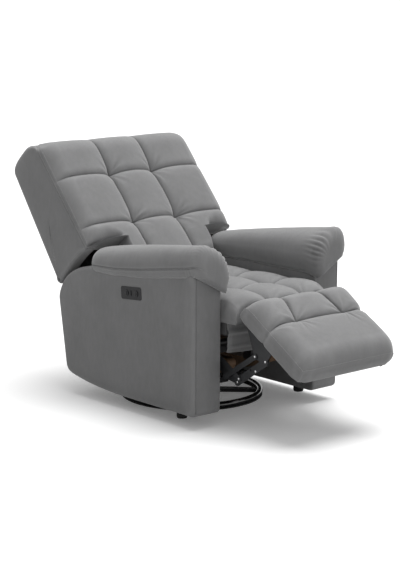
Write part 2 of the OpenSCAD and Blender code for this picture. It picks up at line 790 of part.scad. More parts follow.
pad_steps = 20;
pad_arc = 14;
pad_nose = 62;
function pad_loop(y) = let (
    t = (pad_rear - y) / (pad_rear + pad_front),
    nose = min(ease((y + pad_front) / pad_nose), ease((pad_rear - y) / pad_nose)),
    edge = lerp(pad_edge_rear_z, pad_edge_front_z, t),
    crown = lerp(pad_top_rear_z, pad_top_front_z, t) + 4 * pad_bow * t * (1 - t),
    mid = lerp(edge, pad_inner_z, 0.5),
    rise = (crown - mid) * lerp(0.45, 1, nose),
    squeeze = lerp(0.86, 1, nose),
    centre = (pad_inner + pad_outer) / 2,
    half = squeeze * (pad_outer - pad_inner) / 2)
  [for (i = [0:pad_arc]) let (
      turn = 180 * i / pad_arc,
      across = sign(cos(turn)) * pow(abs(cos(turn)), 0.72))
    [centre - half * across, y, lerp(pad_inner_z, edge, (1 - across) / 2) + rise * pow(sin(turn), 0.7)]];

module arm_pad(side) color(fabric) on_side(side) {
  ends = [for (i = [0:4]) pad_nose * (1 - cos(90 * i / 4))];
  ys = concat([for (e = ends) -pad_front + e + seat_gap],
    [for (i = [1:pad_steps - 10]) lerp(-pad_front + pad_nose, pad_rear - pad_nose, i / (pad_steps - 9))],
    [for (i = [4:-1:0]) pad_rear - ends[i] - seat_gap]);
  difference() {
    skin([for (y = ys) pad_loop(y)]);
    on_x(arm_in_x - soft_gap, arm_w + 2 * cut + soft_gap)
      polygon([for (p = arm_outline()) p + (p[1] > arm_shoulder_z + soft_gap ? [0, soft_gap] : [0, 0])
        + (p[0] < -arm_front + arm_round / 2 ? [-soft_gap, 0] : [0, 0])]);
  }
}

module arm_pad_left() arm_pad(left);
module arm_pad_right() arm_pad(right);

foot_x = chair_w / 2 - arm_w / 2;
module arm_feet() color("#1c1c1d") {
  both_sides() translate([foot_x, -glide_y, 0]) {
    translate([0, 0, glide_lift]) cylinder(r1 = glide_r * 0.9, r2 = glide_r, h = glide_r / 3, $fn = 48);
    translate([0, 0, glide_lift + glide_r / 3])
      cylinder(r = glide_r, h = arm_bottom_z - glide_lift - glide_r / 3 - seat_gap);
  }
}

// Switch

switch_round = 9;
box_wall = 2;
module at_switch() {
  translate([-chair_w / 2, -switch_y, switch_z]) rotate([-switch_slope, 0, 0]) children();
}

// Outline of a plate with round corners, given as [y, z]
module round_plate(length, height, radius, x, thickness) {
  translate([x, 0, 0]) rotate([90, 0, 90]) linear_extrude(thickness) {
    square([length - 2 * radius, height], center = true);
    square([length, height - 2 * radius], center = true);
    for (u = [-1, 1], v = [-1, 1]) translate([u * (length / 2 - radius), v * (height / 2 - radius)]) circle(radius);
  }
}

module switch_pocket(gap) {
  length = switch_l - 2 * switch_round + 2 * gap;
  height = switch_h - switch_round + 2 * gap;
  translate([0, -length / 2, -height / 2]) cube([switch_box_d + cut + gap, length, height]);
}

module switch_plate() color("#303236") at_switch() {
  length = switch_l - 2 * switch_round;
  height = switch_h - switch_round;
  difference() {
    union() {
      round_plate(switch_l, switch_h, switch_round, -switch_t - soft_gap, switch_t);
      translate([-soft_gap, -length / 2, -height / 2]) cube([switch_box_d, length, height]);
    }
    translate([-soft_gap, -length / 2 + box_wall, -height / 2 + box_wall])
      cube([switch_box_d - box_wall, length - 2 * box_wall, height - 2 * box_wall]);
    for (y = [-button_y, button_y]) translate([-switch_t - cut, y, 0])
      rotate([0, 90, 0]) cylinder(r = button_r + run_gap, h = switch_t + 2 * cut);
  }
}

// Button with a collar that keeps it behind the plate
module button(y) color("#26272a") at_switch() {
  translate([-switch_t - soft_gap - button_proud, y, 0]) rotate([0, 90, 0])
    cylinder(r = button_r, h = button_proud + switch_t + seat_gap);
  translate([-soft_gap + seat_gap, y, 0]) rotate([0, 90, 0])
    cylinder(r = button_r + box_wall, h = box_wall);
}

module button_open() button(-button_y);
module button_close() button(button_y);

// Drive

track_z = cross_tube_z - seat_gap - track_h;
module drive_track() color("#55585c") {
  difference() {
    translate([-track_w / 2, -track_front, track_z]) cube([track_w, track_front + track_rear, track_h]);
    translate([-track_w / 2 + rail_wall, -track_front + rail_wall, track_z - cut])
      cube([track_w - 2 * rail_wall, track_front + track_rear - 2 * rail_wall, track_h - rail_wall + cut]);
  }
}

gear_w = 64;
gear_l = 90;
gear_h = 48;
module drive_motor() color("#26272a") {
  translate([-gear_w / 2, track_rear + seat_gap, cross_tube_z - seat_gap - gear_h]) cube([gear_w, gear_l, gear_h]);
  translate([0, track_rear + gear_l / 2, cross_tube_z - gear_h - motor_l]) cylinder(r = motor_r, h = motor_l);
}

inlet_w = 26;
inlet_l = 30;
inlet_pin_r = 1.6;
module power_inlet() color("#1c1c1d") {
  y = cross_rear_y + cross_tube_w / 2 + seat_gap;
  difference() {
    translate([gear_w, y, cross_tube_z]) cube([inlet_w, inlet_l, inlet_w * 0.7]);
    translate([gear_w + box_wall, y + inlet_l / 2, cross_tube_z + box_wall])
      cube([inlet_w - 2 * box_wall, inlet_l / 2 + cut, inlet_w * 0.7 - 2 * box_wall]);
  }
  for (u = [0.35, 0.65]) translate([gear_w + inlet_w * u, y + inlet_l / 2 - box_wall, cross_tube_z + inlet_w * 0.35])
    rotate([-90, 0, 0]) cylinder(r = inlet_pin_r, h = inlet_l / 3);
}

// The lug stands square to the track at mid travel and leans forward at rest
lug_lean = 17.7;
lug_tip = drive + lug_l * [-sin(lug_lean), -cos(lug_lean)];
module drive_block() color("#55585c") {
  wall = rail_wall + 1.5 * seat_gap;
  high = lug_tip[1] + link_pin_r + rail_wall;
  difference() {
    translate([-track_w / 2 - wall, lug_tip[0] - block_l / 2, track_z - wall])
      cube([track_w + 2 * wall, block_l, high - track_z + wall]);
    translate([-track_w / 2 - seat_gap, lug_tip[0] - block_l / 2 - cut, track_z - seat_gap])
      cube([track_w + 2 * seat_gap, block_l + 2 * cut, track_h + 2 * seat_gap]);
    // Slot between the ears for the lug
    translate([-lug_t, lug_tip[0] - block_l / 2 - cut, track_z + track_h + seat_gap + rail_wall])
      cube([2 * lug_t, block_l + 2 * cut, high]);
  }
  pin_x(-lug_t - cut, 2 * lug_t + 2 * cut, link_pin_r, lug_tip);
}

lug_t = 6;
lug_half_w = 11;
slot_half_w = link_pin_r + 1.5;
slot_l = 16;
module torque_tube() color(steel) {
  reach = layer_x(1) + steel_t / 2;
  pin_x(-reach, 2 * reach, torque_r, drive);
  difference() {
    on_x(-lug_t / 2, lug_t) union() {
      link_2d(drive, lug_tip, lug_half_w);
      translate(drive) circle(torque_r + rail_wall);
    }
    on_x(-lug_t, 2 * lug_t) link_2d(drive + (lug_l - slot_l / 4) * [-sin(lug_lean), -cos(lug_lean)],
      drive + (lug_l + slot_l) * [-sin(lug_lean), -cos(lug_lean)], slot_half_w);
  }
}

// Footrest links: the front link drives, the carrier and the control link carry the bracket

module bore_at(n, at, play = run_gap) {
  pin_x(layer_x(n) - cut, steel_t + 2 * cut, link_pin_r + play, at);
}

// Rivet from the outer face of one layer to the outer face of another
module rivet(from, to, at) {
  pin_x(layer_x(from), layer_x(to) + steel_t - layer_x(from), link_pin_r, at);
}

module rivet_head(n, at) {
  translate([layer_x(n) + steel_t, at[0], at[1]]) rotate([0, 90, 0])
    cylinder(r1 = rivet_r, r2 = rivet_r * 0.7, h = rivet_h, $fn = 24);
}

module front_links() color(steel) both_sides() {
  difference() {
    on_x(layer_x(1), steel_t) union() {
      link_2d(drive, knee, link_half_w);
      link_2d(drive, heel, link_half_w);
      link_2d(heel, knee, link_half_w);
      translate(drive) circle(torque_r + rail_wall);
    }
    pin_x(layer_x(1) - cut, cut + steel_t / 2, torque_r + seat_gap, drive);
  }
  rivet(1, 2, knee);
  rivet(1, 4, heel);
}

module guide_links() color(steel) both_sides() {
  difference() {
    on_x(layer_x(3), steel_t) link_2d(guide, tail, link_half_w);
    bore_at(3, guide);
  }
  rivet(2, 3, tail);
  rivet_head(3, tail);
}

module carrier_links() color("#3a3c3f") both_sides() {
  difference() {
    on_x(layer_x(2), steel_t) union() {
      link_2d(knee, toe, carrier_half_w);
      translate(tail) circle(carrier_half_w);
    }
    bore_at(2, knee);
    bore_at(2, tail, loop_play);
    pin_x(layer_x(2) - cut, steel_t + 2 * cut, spare_hole_r, carrier_point(spare_hole_share, carrier_half_w / 2));
  }
  rivet(2, 3, toe);
  rivet_head(2, carrier_point(spare_rivet_share, -carrier_half_w / 2));
}

// Places along the carrier from the knee to the toe, as shares of its length
spare_hole_share = 0.5;
spare_rivet_share = 0.62;
function carrier_point(share, aside) = let (way = (toe - knee) / norm(toe - knee))
  lerp(knee, toe, share) - aside * [-way[1], way[0]];

module control_links() color("#3a3c3f") both_sides() {
  difference() {
    on_x(layer_x(4), steel_t) link_2d(heel, brace, link_half_w);
    bore_at(4, heel);
  }
  rivet(3, 4, brace);
  rivet_head(4, brace);
}

// Footrest, drawn in its own frame: -Y runs to its front edge, Z is square to its board
module at_footrest() {
  translate([0, -foot_hinge_y, foot_hinge_z]) rotate([foot_slope, 0, 0]) children();
}

// Point on the footrest's underside, given from its rear corner
function foot_point(along, up) = [-foot_hinge_y, foot_hinge_z]
  + along * [-cos(foot_slope), -sin(foot_slope)] + up * [-sin(foot_slope), cos(foot_slope)];

module foot_brackets() color(steel) both_sides() {
  difference() {
    on_x(layer_x(3), steel_t) union() {
      polygon([foot_point(board_margin, -seat_gap), foot_point(foot_row + 2 * board_margin, -seat_gap),
        toe + [-rivet_r, 0], toe + [0, -2 * rivet_r], brace + [rivet_r, -rivet_r]]);
      translate(toe) circle(2 * rivet_r);
      translate(brace) circle(2 * rivet_r);
    }
    bore_at(3, toe);
    bore_at(3, brace, loop_play);
  }
  // Flange under the board
  at_footrest() translate([layer_x(3) - 4 * board_t, -foot_row - 2 * board_margin, -steel_t - seat_gap])
    cube([4 * board_t + steel_t, foot_row + board_margin, steel_t]);
}

module foot_board() color(timber) at_footrest() {
  translate([-foot_w / 2 + board_margin, -foot_l + board_margin, 0])
    cube([foot_w - 2 * board_margin, foot_l - 2 * board_margin, board_t]);
}

foot_bulge = 2;
foot_half_w = foot_w / 2 - foot_bulge;
// Column edges at a place along the footrest: the seams spread from its rear to the crease
function foot_columns(y) = let (seam = lerp(foot_seam_rear_x, foot_seam_x, clamp01(-y / foot_row)))
  [-foot_half_w, -seam, seam, foot_half_w];
foot_rows = [-foot_l, -foot_row, 0];
module foot_cushion() color(fabric) at_footrest() {
  ys = concat([for (i = [0:9]) lerp(-foot_l, -foot_row, pow(i / 10, 1.5))],
    [for (i = [0:8]) lerp(-foot_row, 0, 1 - pow(1 - i / 8, 1.4))]);
  tuft_reach = foot_seam_x / 3;
  difference() {
    skin([for (y = ys) let (
      tufted = y >= -foot_row,
      columns = foot_columns(y),
      xs = spans(columns, block_steps),
      tops = [for (x = xs) foot_band
        + foot_puff * ease((foot_half_w - abs(x)) / foot_roll) * ease((y + foot_l) / foot_roll) * ease(-y / foot_roll)
        + foot_crown * (tufted ? swell(place_in(x, columns), place_in(y, foot_rows))
          : swell(x / foot_half_w, place_in(y, foot_rows)))
        - foot_tuft * pull(x, y, [-foot_seam_x, foot_seam_x], [-foot_row], tuft_reach)])
      cushion_loop(xs, tops, y, 0, foot_band, foot_half_w, foot_bulge)]);
    translate([-foot_w / 2 + board_margin - soft_gap, -foot_l + board_margin - soft_gap, -cut])
      cube([foot_w - 2 * board_margin + 2 * soft_gap, foot_l - 2 * board_margin + 2 * soft_gap,
        board_t + soft_gap + cut]);
  }
}

// Back, drawn in its own frame: Z runs up the back from its pivot, -Y is its front
module at_back() {
  translate([0, back_pivot_y, back_pivot_z]) rotate([-back_lean, 0, 0]) children();
}

stile_t = 40;
stile_d = 50;
stile_x = plate_x - steel_t - seat_gap * 4;
frame_top = back_top - cover_t - 3 * soft_gap;
stile_low = back_bottom + soft_gap;

module back_brackets() color(steel) both_sides() {
  x = stile_x + seat_gap;
  on_x(x, steel_t) at_back_2d() union() {
    circle(pivot_boss);
    translate([-pivot_boss, 0]) square([2 * pivot_boss, stile_low + 2 * stile_d]);
  }
  pin_x(x, plate_x + 2 * steel_t - x, back_pin_r, back_pivot);
}

// Turns an outline, given as [depth, height] in the back's frame, into [y, z]
module at_back_2d() {
  translate(back_pivot) rotate(-back_lean) children();
}

module back_stiles() color(timber) both_sides() at_back()
  translate([stile_x - stile_t, -pivot_boss, stile_low]) cube([stile_t, stile_d, frame_top - stile_low - stile_t]);

module back_rail(z, half_w, height) color(timber) at_back()
  translate([-half_w, -pivot_boss, z]) cube([2 * half_w, stile_d, height]);

wing_in_x = chair_w / 2 - wing_w;
module back_rail_top() back_rail(frame_top - stile_t + seat_gap, wing_in_x - soft_gap, stile_t - seat_gap);

module back_rail_low() back_rail(stile_low, stile_x - stile_t - seat_gap, stile_t);

// Outriggers that carry the wings beside the stiles
module back_rail_middle() color(timber) both_sides() at_back()
  translate([stile_x + seat_gap, -pivot_boss, wing_bottom + stile_t])
    cube([wing_in_x - soft_gap - stile_x - seat_gap, stile_d, stile_t]);

back_wire_rows = 4;
module back_wires() color("#6f7276") at_back() {
  low = stile_low + 2 * stile_t;
  high = frame_top - 3 * stile_t;
  span = 2 * (stile_x - stile_t) - 2 * seat_gap;
  for (i = [0:back_wire_rows - 1]) translate([-span / 2, -pivot_boss, lerp(low, high, i / (back_wire_rows - 1))])
    rotate([90, 0, 0]) translate([0, 0, -wire_t]) linear_extrude(wire_t) zigzag_2d(span, wire_swing, 7, wire_t);
}

// Overlap of the front cushion over the wings' front edges
wing_lip = 8;
wing_front = back_seam - wing_lip;
// Rear face of the back at a height above the pivot
function back_depth(z) = lerp(back_rear_low, back_rear_top, (z - wing_bottom) / (back_top - wing_bottom));
wing_round = 40;
wing_arc = 60;
wing_arch = 24;
function wing_outline() = concat(
  // The lower edge curves over the arm's shoulder, from the front seam down to the rear tip
  bend([-wing_front, wing_bottom], [wing_arc, wing_bottom + wing_arch],
    [back_depth(wing_bottom) - wing_round / 6, wing_bottom - wing_round / 6], 10),
  bend([back_depth(back_top - wing_round), back_top - wing_round], [back_depth(back_top), back_top],
    [back_depth(back_top) - 2 * wing_round, back_top], 6),
  [[back_top_r - wing_front, back_top]],
  [for (i = [0:len(top_rows) - 1]) let (z = top_rows[len(top_rows) - 1 - i])
    if (z > back_top - back_top_r) [top_fall(z) - wing_front, z]],
  [[-wing_front, back_top - back_top_r]]);

// Fall of the front faces round the top edge, at a height up the back
function top_fall(z) = back_top_r * (1 - sqrt(1 - pow(clamp01((z - back_top + back_top_r) / back_top_r), 2)));
// The cushion ends part of the way round the top front edge
cushion_top = back_top - back_top_r / 6;
// Heights of the upper row's sections, which the wings' round corners share
top_rows = [for (i = [1:9]) lerp(back_row_high, cushion_top, 1 - pow(1 - i / 9, 1.5))];

module back_wing(side) color(fabric) on_side(side) {
  at_back() soft_panel(wing_outline(), wing_in_x, chair_w / 2, wing_edge_r);
}

module back_wing_left() back_wing(left);
module back_wing_right() back_wing(right);

// Rear cover, folded in between the arms under the frame at its lower edge
module back_cover_rear() color(fabric) {
  half = wing_in_x - soft_gap;
  fold = stile_d - pivot_boss + soft_gap;
  fold_half = arm_in_x - 4 * soft_gap;
  on_x(-half, 2 * half) at_back_2d() polygon([
    [back_depth(wing_bottom) - cover_t, wing_bottom], [back_depth(wing_bottom), wing_bottom],
    [back_depth(back_top - wing_round), back_top - wing_round],
    [back_depth(back_top - wing_round) - cover_t, back_top - wing_round]]);
  on_x(-fold_half, 2 * fold_half) at_back_2d() polygon([
    [fold, wing_bottom], [back_depth(wing_bottom) - cover_t / 2, wing_bottom],
    [back_depth(wing_bottom) - cover_t / 2, wing_bottom + cover_t], [fold, wing_bottom + cover_t]]);
}

module back_cover_top() color(fabric) {
  half = wing_in_x - soft_gap;
  low = back_top - cover_t;
  on_x(-half, 2 * half) at_back_2d() polygon(concat(
    [[back_depth(back_top - wing_round) - cover_t, back_top - wing_round + soft_gap]],
    [[back_depth(back_top - wing_round), back_top - wing_round + soft_gap]],
    bend([back_depth(back_top - wing_round), back_top - wing_round + soft_gap], [back_depth(back_top), back_top],
      [back_depth(back_top) - 2 * wing_round, back_top], 6),
    [[-pivot_boss, back_top], [-pivot_boss, low], [back_depth(back_top) - 2 * wing_round, low]]));
}

back_face = pivot_boss + soft_gap;
cushion_in_x = wing_in_x - soft_gap;
back_columns = [-chair_w / 2, -back_seam_x, back_seam_x, chair_w / 2];
back_rows = [back_bottom, back_row_low, back_row_high, cushion_top];
// The cushion's lower part runs down between the arm pads
low_half_w = pad_inner - 4 * soft_gap;
// Place across the back: only the outer columns grow narrow between the arm pads
function back_x(x, half_w) = abs(x) <= back_seam_x ? x : sign(x) * lerp(back_seam_x, half_w,
  (abs(x) - back_seam_x) / (chair_w / 2 - back_seam_x));
// Roll of the padding towards the sides, the top and the lower edges
function back_edge(x, z) = let (foot = z >= wing_bottom && abs(x) > low_half_w ? wing_bottom : back_bottom)
  ease((chair_w / 2 - abs(x)) / back_roll) * ease((cushion_top - z) / back_roll) * ease((z - foot) / back_roll);
// Underside of the cushion's lips, which lie on the wings' front edges
function lip_face(z) = max(back_face + seat_gap, wing_front + soft_gap - top_fall(z));
// Corners of the cushion's side at a height, from its rear face forwards, as [x, depth]
function cushion_side(z, half_w) = z < wing_bottom
  ? [[half_w, back_face], [half_w, lerp(lip_face(z), back_seam, 0.2)], [half_w, lerp(lip_face(z), back_seam, 0.6)]]
  : [[cushion_in_x, back_face], [cushion_in_x, lip_face(z)], [half_w, lip_face(z)]];

// Front cushion of the back: full width above the wings' lower edge, and between the arms below it
module back_cushion() color(fabric) at_back() {
  xs = spans(back_columns, block_steps);
  zs = concat(spans([back_bottom, wing_bottom - seat_gap], 5), spans([wing_bottom, back_row_low], 3),
    [for (i = [1:8]) lerp(back_row_low, back_row_high, i / 8)], top_rows);
  tuft_reach = back_seam_x / 3;
  skin([for (z = zs) let (
    half_w = z < wing_bottom ? low_half_w : chair_w / 2,
    side = cushion_side(z, half_w),
    tops = [for (x = xs) back_seam - top_fall(z)
      + back_edge(x, z) * (back_puff + back_crown * swell(place_in(x, back_columns), place_in(z, back_rows))
        - back_tuft * pull(x, z, [-back_seam_x, back_seam_x], [back_row_low, back_row_high], tuft_reach))])
    concat([for (i = [0:2]) [-side[i][0], -side[i][1], z]],
      [for (i = [0:len(xs) - 1]) [back_x(xs[i], half_w), -tops[i], z]],
      [for (i = [2:-1:0]) [side[i][0], -side[i][1], z]])]);
}

floor_strip();
ring_tube();
star_base();
lower_race();
bearing_balls();
king_pin();
upper_race();
turn_plate();
crossbar_front();
crossbar_rear();
rocker_rail_left();
rocker_rail_right();
rocker_springs();
rocker_cam_left();
rocker_cam_right();
cross_tube_front();
cross_tube_rear();
side_plate_left();
side_plate_right();
seat_rail_left();
seat_rail_right();
seat_rail_front();
seat_rail_rear();
seat_wires();
seat_cushion();
front_cloth();
arm_brackets();
arm_left();
arm_right();
arm_pad_left();
arm_pad_right();
arm_feet();
switch_plate();
button_open();
button_close();
drive_track();
drive_motor();
power_inlet();
drive_block();
torque_tube();
front_links();
guide_links();
carrier_links();
control_links();
foot_brackets();
foot_board();
foot_cushion();
back_brackets();
back_stiles();
back_rail_top();
back_rail_middle();
back_rail_low();
back_wires();
back_wing_left();
back_wing_right();
back_cover_rear();
back_cover_top();
back_cushion();
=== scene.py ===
"""Dresses a power swivel recliner: tufted cushions, padded arms, sewn panels, steel, ply and a pale studio."""

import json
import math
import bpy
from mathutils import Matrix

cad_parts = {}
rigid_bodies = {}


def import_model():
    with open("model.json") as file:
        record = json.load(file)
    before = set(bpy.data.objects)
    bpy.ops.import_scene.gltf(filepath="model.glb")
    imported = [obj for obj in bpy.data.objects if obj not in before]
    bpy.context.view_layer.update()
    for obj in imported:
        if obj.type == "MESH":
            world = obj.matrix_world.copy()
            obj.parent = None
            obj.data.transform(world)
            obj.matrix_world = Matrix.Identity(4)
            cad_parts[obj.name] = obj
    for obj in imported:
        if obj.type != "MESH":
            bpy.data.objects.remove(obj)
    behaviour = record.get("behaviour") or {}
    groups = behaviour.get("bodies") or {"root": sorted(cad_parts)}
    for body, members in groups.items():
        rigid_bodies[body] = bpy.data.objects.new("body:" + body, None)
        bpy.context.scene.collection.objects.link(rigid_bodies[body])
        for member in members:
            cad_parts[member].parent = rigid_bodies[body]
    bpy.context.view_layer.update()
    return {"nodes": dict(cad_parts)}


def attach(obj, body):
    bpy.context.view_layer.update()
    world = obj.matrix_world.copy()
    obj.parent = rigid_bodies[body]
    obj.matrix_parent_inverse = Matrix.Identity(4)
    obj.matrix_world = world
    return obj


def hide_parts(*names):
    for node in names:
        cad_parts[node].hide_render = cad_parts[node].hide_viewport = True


bl_info = {
    "name": "Swivel Recliner Dressing",
    "version": (1, 0, 0),
    "blender": (4, 5, 0),
    "location": "View3D > Sidebar > Recliner",
    "description": "Upholstery, seams, metal and studio for a power swivel recliner",
    "category": "Object",
}

import bmesh
import bpy
import numpy as np
from mathutils import Matrix

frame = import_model()

# The back and the footrest lean. Each has its own frame, at a slope from a point given as (y, z).
BACK_LEAN = math.radians(41.2)
BACK_PIVOT = (0.070, 0.385)
FOOT_SLOPE = math.radians(32.0)
FOOT_HINGE = (-0.545, 0.439)


# Sizes and colours a user would change

class ChairSizes(bpy.types.PropertyGroup):
    """Sizes of the upholstery"""
    half_width: bpy.props.FloatProperty(
        name="Half width", description="Outer face of the arm panels, from the middle",
        default=0.380, unit="LENGTH")
    arm_inner: bpy.props.FloatProperty(
        name="Arm inner face", description="Inner face of the arm panels, from the middle",
        default=0.246, unit="LENGTH")
    back_crown: bpy.props.FloatProperty(
        name="Back crown", description="Rise of the back's sewn blocks", default=0.023, unit="LENGTH")
    seat_crown: bpy.props.FloatProperty(
        name="Seat crown", description="Rise of the seat's sewn blocks", default=0.030, unit="LENGTH")
    foot_crown: bpy.props.FloatProperty(
        name="Footrest crown", description="Rise of the footrest's sewn blocks", default=0.018, unit="LENGTH")
    tuft_depth: bpy.props.FloatProperty(
        name="Tuft depth", description="Extra depth where seams cross", default=0.018, unit="LENGTH")
    thread_radius: bpy.props.FloatProperty(
        name="Thread radius", description="Radius of the topstitch thread", default=0.0010, unit="LENGTH")


class ChairColours(bpy.types.PropertyGroup):
    """Colours of cloth, thread, paint and ply"""
    cloth: bpy.props.FloatVectorProperty(
        name="Cloth", description="Grey suede cloth", subtype="COLOR", size=3, min=0, max=1,
        default=(0.225, 0.225, 0.227))
    thread: bpy.props.FloatVectorProperty(
        name="Thread", description="Topstitch thread", subtype="COLOR", size=3, min=0, max=1,
        default=(0.40, 0.40, 0.405))
    ring: bpy.props.FloatVectorProperty(
        name="Ring", description="Gloss black paint", subtype="COLOR", size=3, min=0, max=1,
        default=(0.010, 0.010, 0.011))
    linkage: bpy.props.FloatVectorProperty(
        name="Linkage", description="Satin dark steel", subtype="COLOR", size=3, min=0, max=1,
        default=(0.026, 0.027, 0.029))
    ply: bpy.props.FloatVectorProperty(
        name="Ply", description="Stained ply of the rocker cams", subtype="COLOR", size=3, min=0, max=1,
        default=(0.200, 0.118, 0.065))


def sizes():
    """The scene's sizes."""
    return bpy.context.scene.chair_sizes


def colours():
    """The scene's colours."""
    return bpy.context.scene.chair_colours


# Shader maths

class Field:
    """A shader value that can be used in sums and products."""

    def __init__(self, tree, socket):
        self.tree = tree
        self.socket = socket

    def _with(self, other, operation, flip=False):
        """Adds a Math node for this value and another value or number."""
        node = self.tree.nodes.new("ShaderNodeMath")
        node.operation = operation
        pair = (other, self) if flip else (self, other)
        for slot, value in zip(node.inputs, pair):
            if isinstance(value, Field):
                self.tree.links.new(value.socket, slot)
            else:
                slot.default_value = value
        return Field(self.tree, node.outputs[0])

    def __add__(self, other):
        return self._with(other, "ADD")

    def __sub__(self, other):
        return self._with(other, "SUBTRACT")

    def __rsub__(self, other):
        return self._with(other, "SUBTRACT", True)

    def __mul__(self, other):
        return self._with(other, "MULTIPLY")

    def most(self, other):
        """The larger of two values."""
        return self._with(other, "MAXIMUM")

    __radd__ = __add__
    __rmul__ = __mul__


class Nodes:
    """A node tree, and the one way in which nodes are added to it."""

    def __init__(self, tree):
        self.tree = tree

    def add(self, kind, settings=None, **values):
        """Adds a node, applies its settings, then its values or links, and returns its outputs by name.

        A socket is given by its name, or by its number as i0, i1 and so on."""
        node = self.tree.nodes.new(kind)
        for key, value in (settings or {}).items():
            if key == "stops":
                ramp = node.color_ramp.elements
                while len(ramp) < len(value):
                    ramp.new(0.5)
                for element, (position, tone) in zip(ramp, value):
                    element.position = position
                    element.color = (tone, tone, tone, 1)
            else:
                setattr(node, key, value)
        for key, value in values.items():
            slot = node.inputs[int(key[1:])] if key[0] == "i" and key[1:].isdigit() else node.inputs[key]
            self.feed(slot, value)
        return {out.name: Field(self.tree, out) for out in reversed(node.outputs) if out.enabled}

    def feed(self, slot, value):
        """Links a value to a socket, or sets the socket to a number, colour or vector."""
        if isinstance(value, Field):
            self.tree.links.new(value.socket, slot)
        else:
            slot.default_value = value


class Finish(Nodes):
    """One material with a Principled surface, patterned on Object coordinates."""

    def __init__(self, name):
        self.material = bpy.data.materials.new(name)
        self.material.use_nodes = True
        super().__init__(self.material.node_tree)
        self.surface = self.tree.nodes["Principled BSDF"]
        self.place = self.add("ShaderNodeTexCoord")["Object"]

    def set(self, **values):
        """Sets or links sockets of the surface, with underscores for the spaces in their names."""
        for key, value in values.items():
            self.feed(self.surface.inputs[key.replace("_", " ")], value)

    def noise(self, scale, detail=3.0, roughness=0.55, stretch=None):
        """Noise of so many waves a metre, drawn out along the axes whose stretch is under 1."""
        place = self.place
        if stretch:
            place = self.add("ShaderNodeMapping", Vector=place, Scale=stretch)["Vector"]
        return self.add("ShaderNodeTexNoise", Vector=place, Scale=scale, Detail=detail, Roughness=roughness)["Fac"]

    def blend(self, factor, dark, light):
        """Colour that goes from dark to light with the factor."""
        return self.add("ShaderNodeMix", {"data_type": "RGBA"}, i0=factor, i6=(*dark, 1), i7=(*light, 1))["Result"]

    def bump(self, height, distance, strength):
        """Tilts the normal by a height from 0 to 1, times a distance in metres."""
        self.set(Normal=self.add("ShaderNodeBump", Height=height, Distance=distance, Strength=strength)["Normal"])


def shade(colour, factor):
    """Colour times a factor, with no part over 1."""
    return tuple(min(1.0, c * factor) for c in colour)


def cloth_finish(name, lift=1.0):
    """Suede: cloudy nap, a fine weave and a soft sheen, with painted shade in seams and a painted highlight on
    crests from the mesh's curvature.
    """
    finish = Finish(name)
    colour = shade(tuple(colours().cloth), lift)
    nap = finish.noise(7.0, 4.0, 0.6)
    streak = finish.noise(60.0, 3.0, 0.6, (1.0, 1.0, 0.35))
    grain = finish.noise(900.0, 2.0, 0.6)
    tone = nap * 0.55 + streak * 0.3 + grain * 0.15
    ramp = finish.add("ShaderNodeValToRGB", {"stops": [(0.30, 0.0), (0.70, 1.0)]}, Fac=tone)["Color"]
    # Painted shade and light: an attribute from each vertex's curvature makes seams darker and crests lighter
    painted_crease_shade = finish.add("ShaderNodeAttribute", {"attribute_name": "nap"})["Fac"]
    finish.set(Base_Color=finish.blend(ramp * 0.28 + 0.36 + painted_crease_shade, shade(colour, 0.55), shade(colour, 1.45)),
               Roughness=0.78 + 0.14 * grain, Sheen_Weight=0.55, Sheen_Roughness=0.40,
               Specular_IOR_Level=0.22)
    weave_x = finish.add("ShaderNodeTexWave", {"bands_direction": "DIAGONAL"}, Vector=finish.place,
                         Scale=340.0, Distortion=1.6, Detail=1.0)["Fac"]
    finish.bump(grain * 0.6 + weave_x * 0.25 + streak * 0.4, 0.0006, 0.35)
    return finish.material


def thread_finish():
    """Twisted thread: diagonal waves, light and dark."""
    finish = Finish("topstitch_thread")
    twist = finish.add("ShaderNodeTexWave", {"bands_direction": "DIAGONAL"}, Vector=finish.place,
                       Scale=300.0, Distortion=0.5)["Fac"]
    colour = tuple(colours().thread)
    finish.set(Base_Color=finish.blend(twist, shade(colour, 0.75), shade(colour, 1.15)), Roughness=0.7,
               Sheen_Weight=0.2)
    finish.bump(twist, 0.0002, 0.5)
    return finish.material


def paint_finish(name, colour, rough, grain_scale=420.0, coat=0.0):
    """Painted steel with a faint orange peel and worn, slightly lighter patches."""
    finish = Finish(name)
    peel = finish.noise(grain_scale, 2.0, 0.5)
    wear = finish.noise(14.0, 5.0, 0.65)
    patch = finish.add("ShaderNodeValToRGB", {"stops": [(0.45, 0.0), (0.72, 1.0)]}, Fac=wear)["Color"]
    finish.set(Base_Color=finish.blend(patch, shade(colour, 0.9), shade(colour, 1.35)),
               Roughness=rough + 0.10 * wear - 0.05, Specular_IOR_Level=0.5, Coat_Weight=coat,
               Coat_Roughness=0.08)
    finish.bump(peel, 0.00012, 0.25)
    return finish.material


def zinc_finish(name, colour=(0.46, 0.47, 0.48), rough=0.30):
    """Zinc plated steel, brushed along Y."""
    finish = Finish(name)
    brush = finish.noise(240.0, 3.0, 0.6, (1.0, 0.06, 1.0))
    cloud = finish.noise(25.0, 3.0, 0.5)
    finish.set(Base_Color=finish.blend(cloud, shade(colour, 0.75), shade(colour, 1.15)), Metallic=1.0,
               Roughness=rough + 0.12 * brush)
    finish.bump(brush, 0.0001, 0.3)
    return finish.material


def ply_finish(name, colour):
    """Ply: long grain along Y and thin glue lines across X."""
    finish = Finish(name)
    grain = finish.noise(60.0, 5.0, 0.62, (1.0, 0.05, 1.0))
    layers = finish.add("ShaderNodeTexWave", {"bands_direction": "X"}, Vector=finish.place, Scale=95.0,
                        Distortion=0.6, Detail=2.0)["Fac"]
    tone = grain * 0.75 + layers * 0.25
    finish.set(Base_Color=finish.blend(tone, shade(colour, 0.55), shade(colour, 1.25)),
               Roughness=0.5 + 0.2 * grain, Specular_IOR_Level=0.4)
    finish.bump(tone, 0.0004, 0.4)
    return finish.material


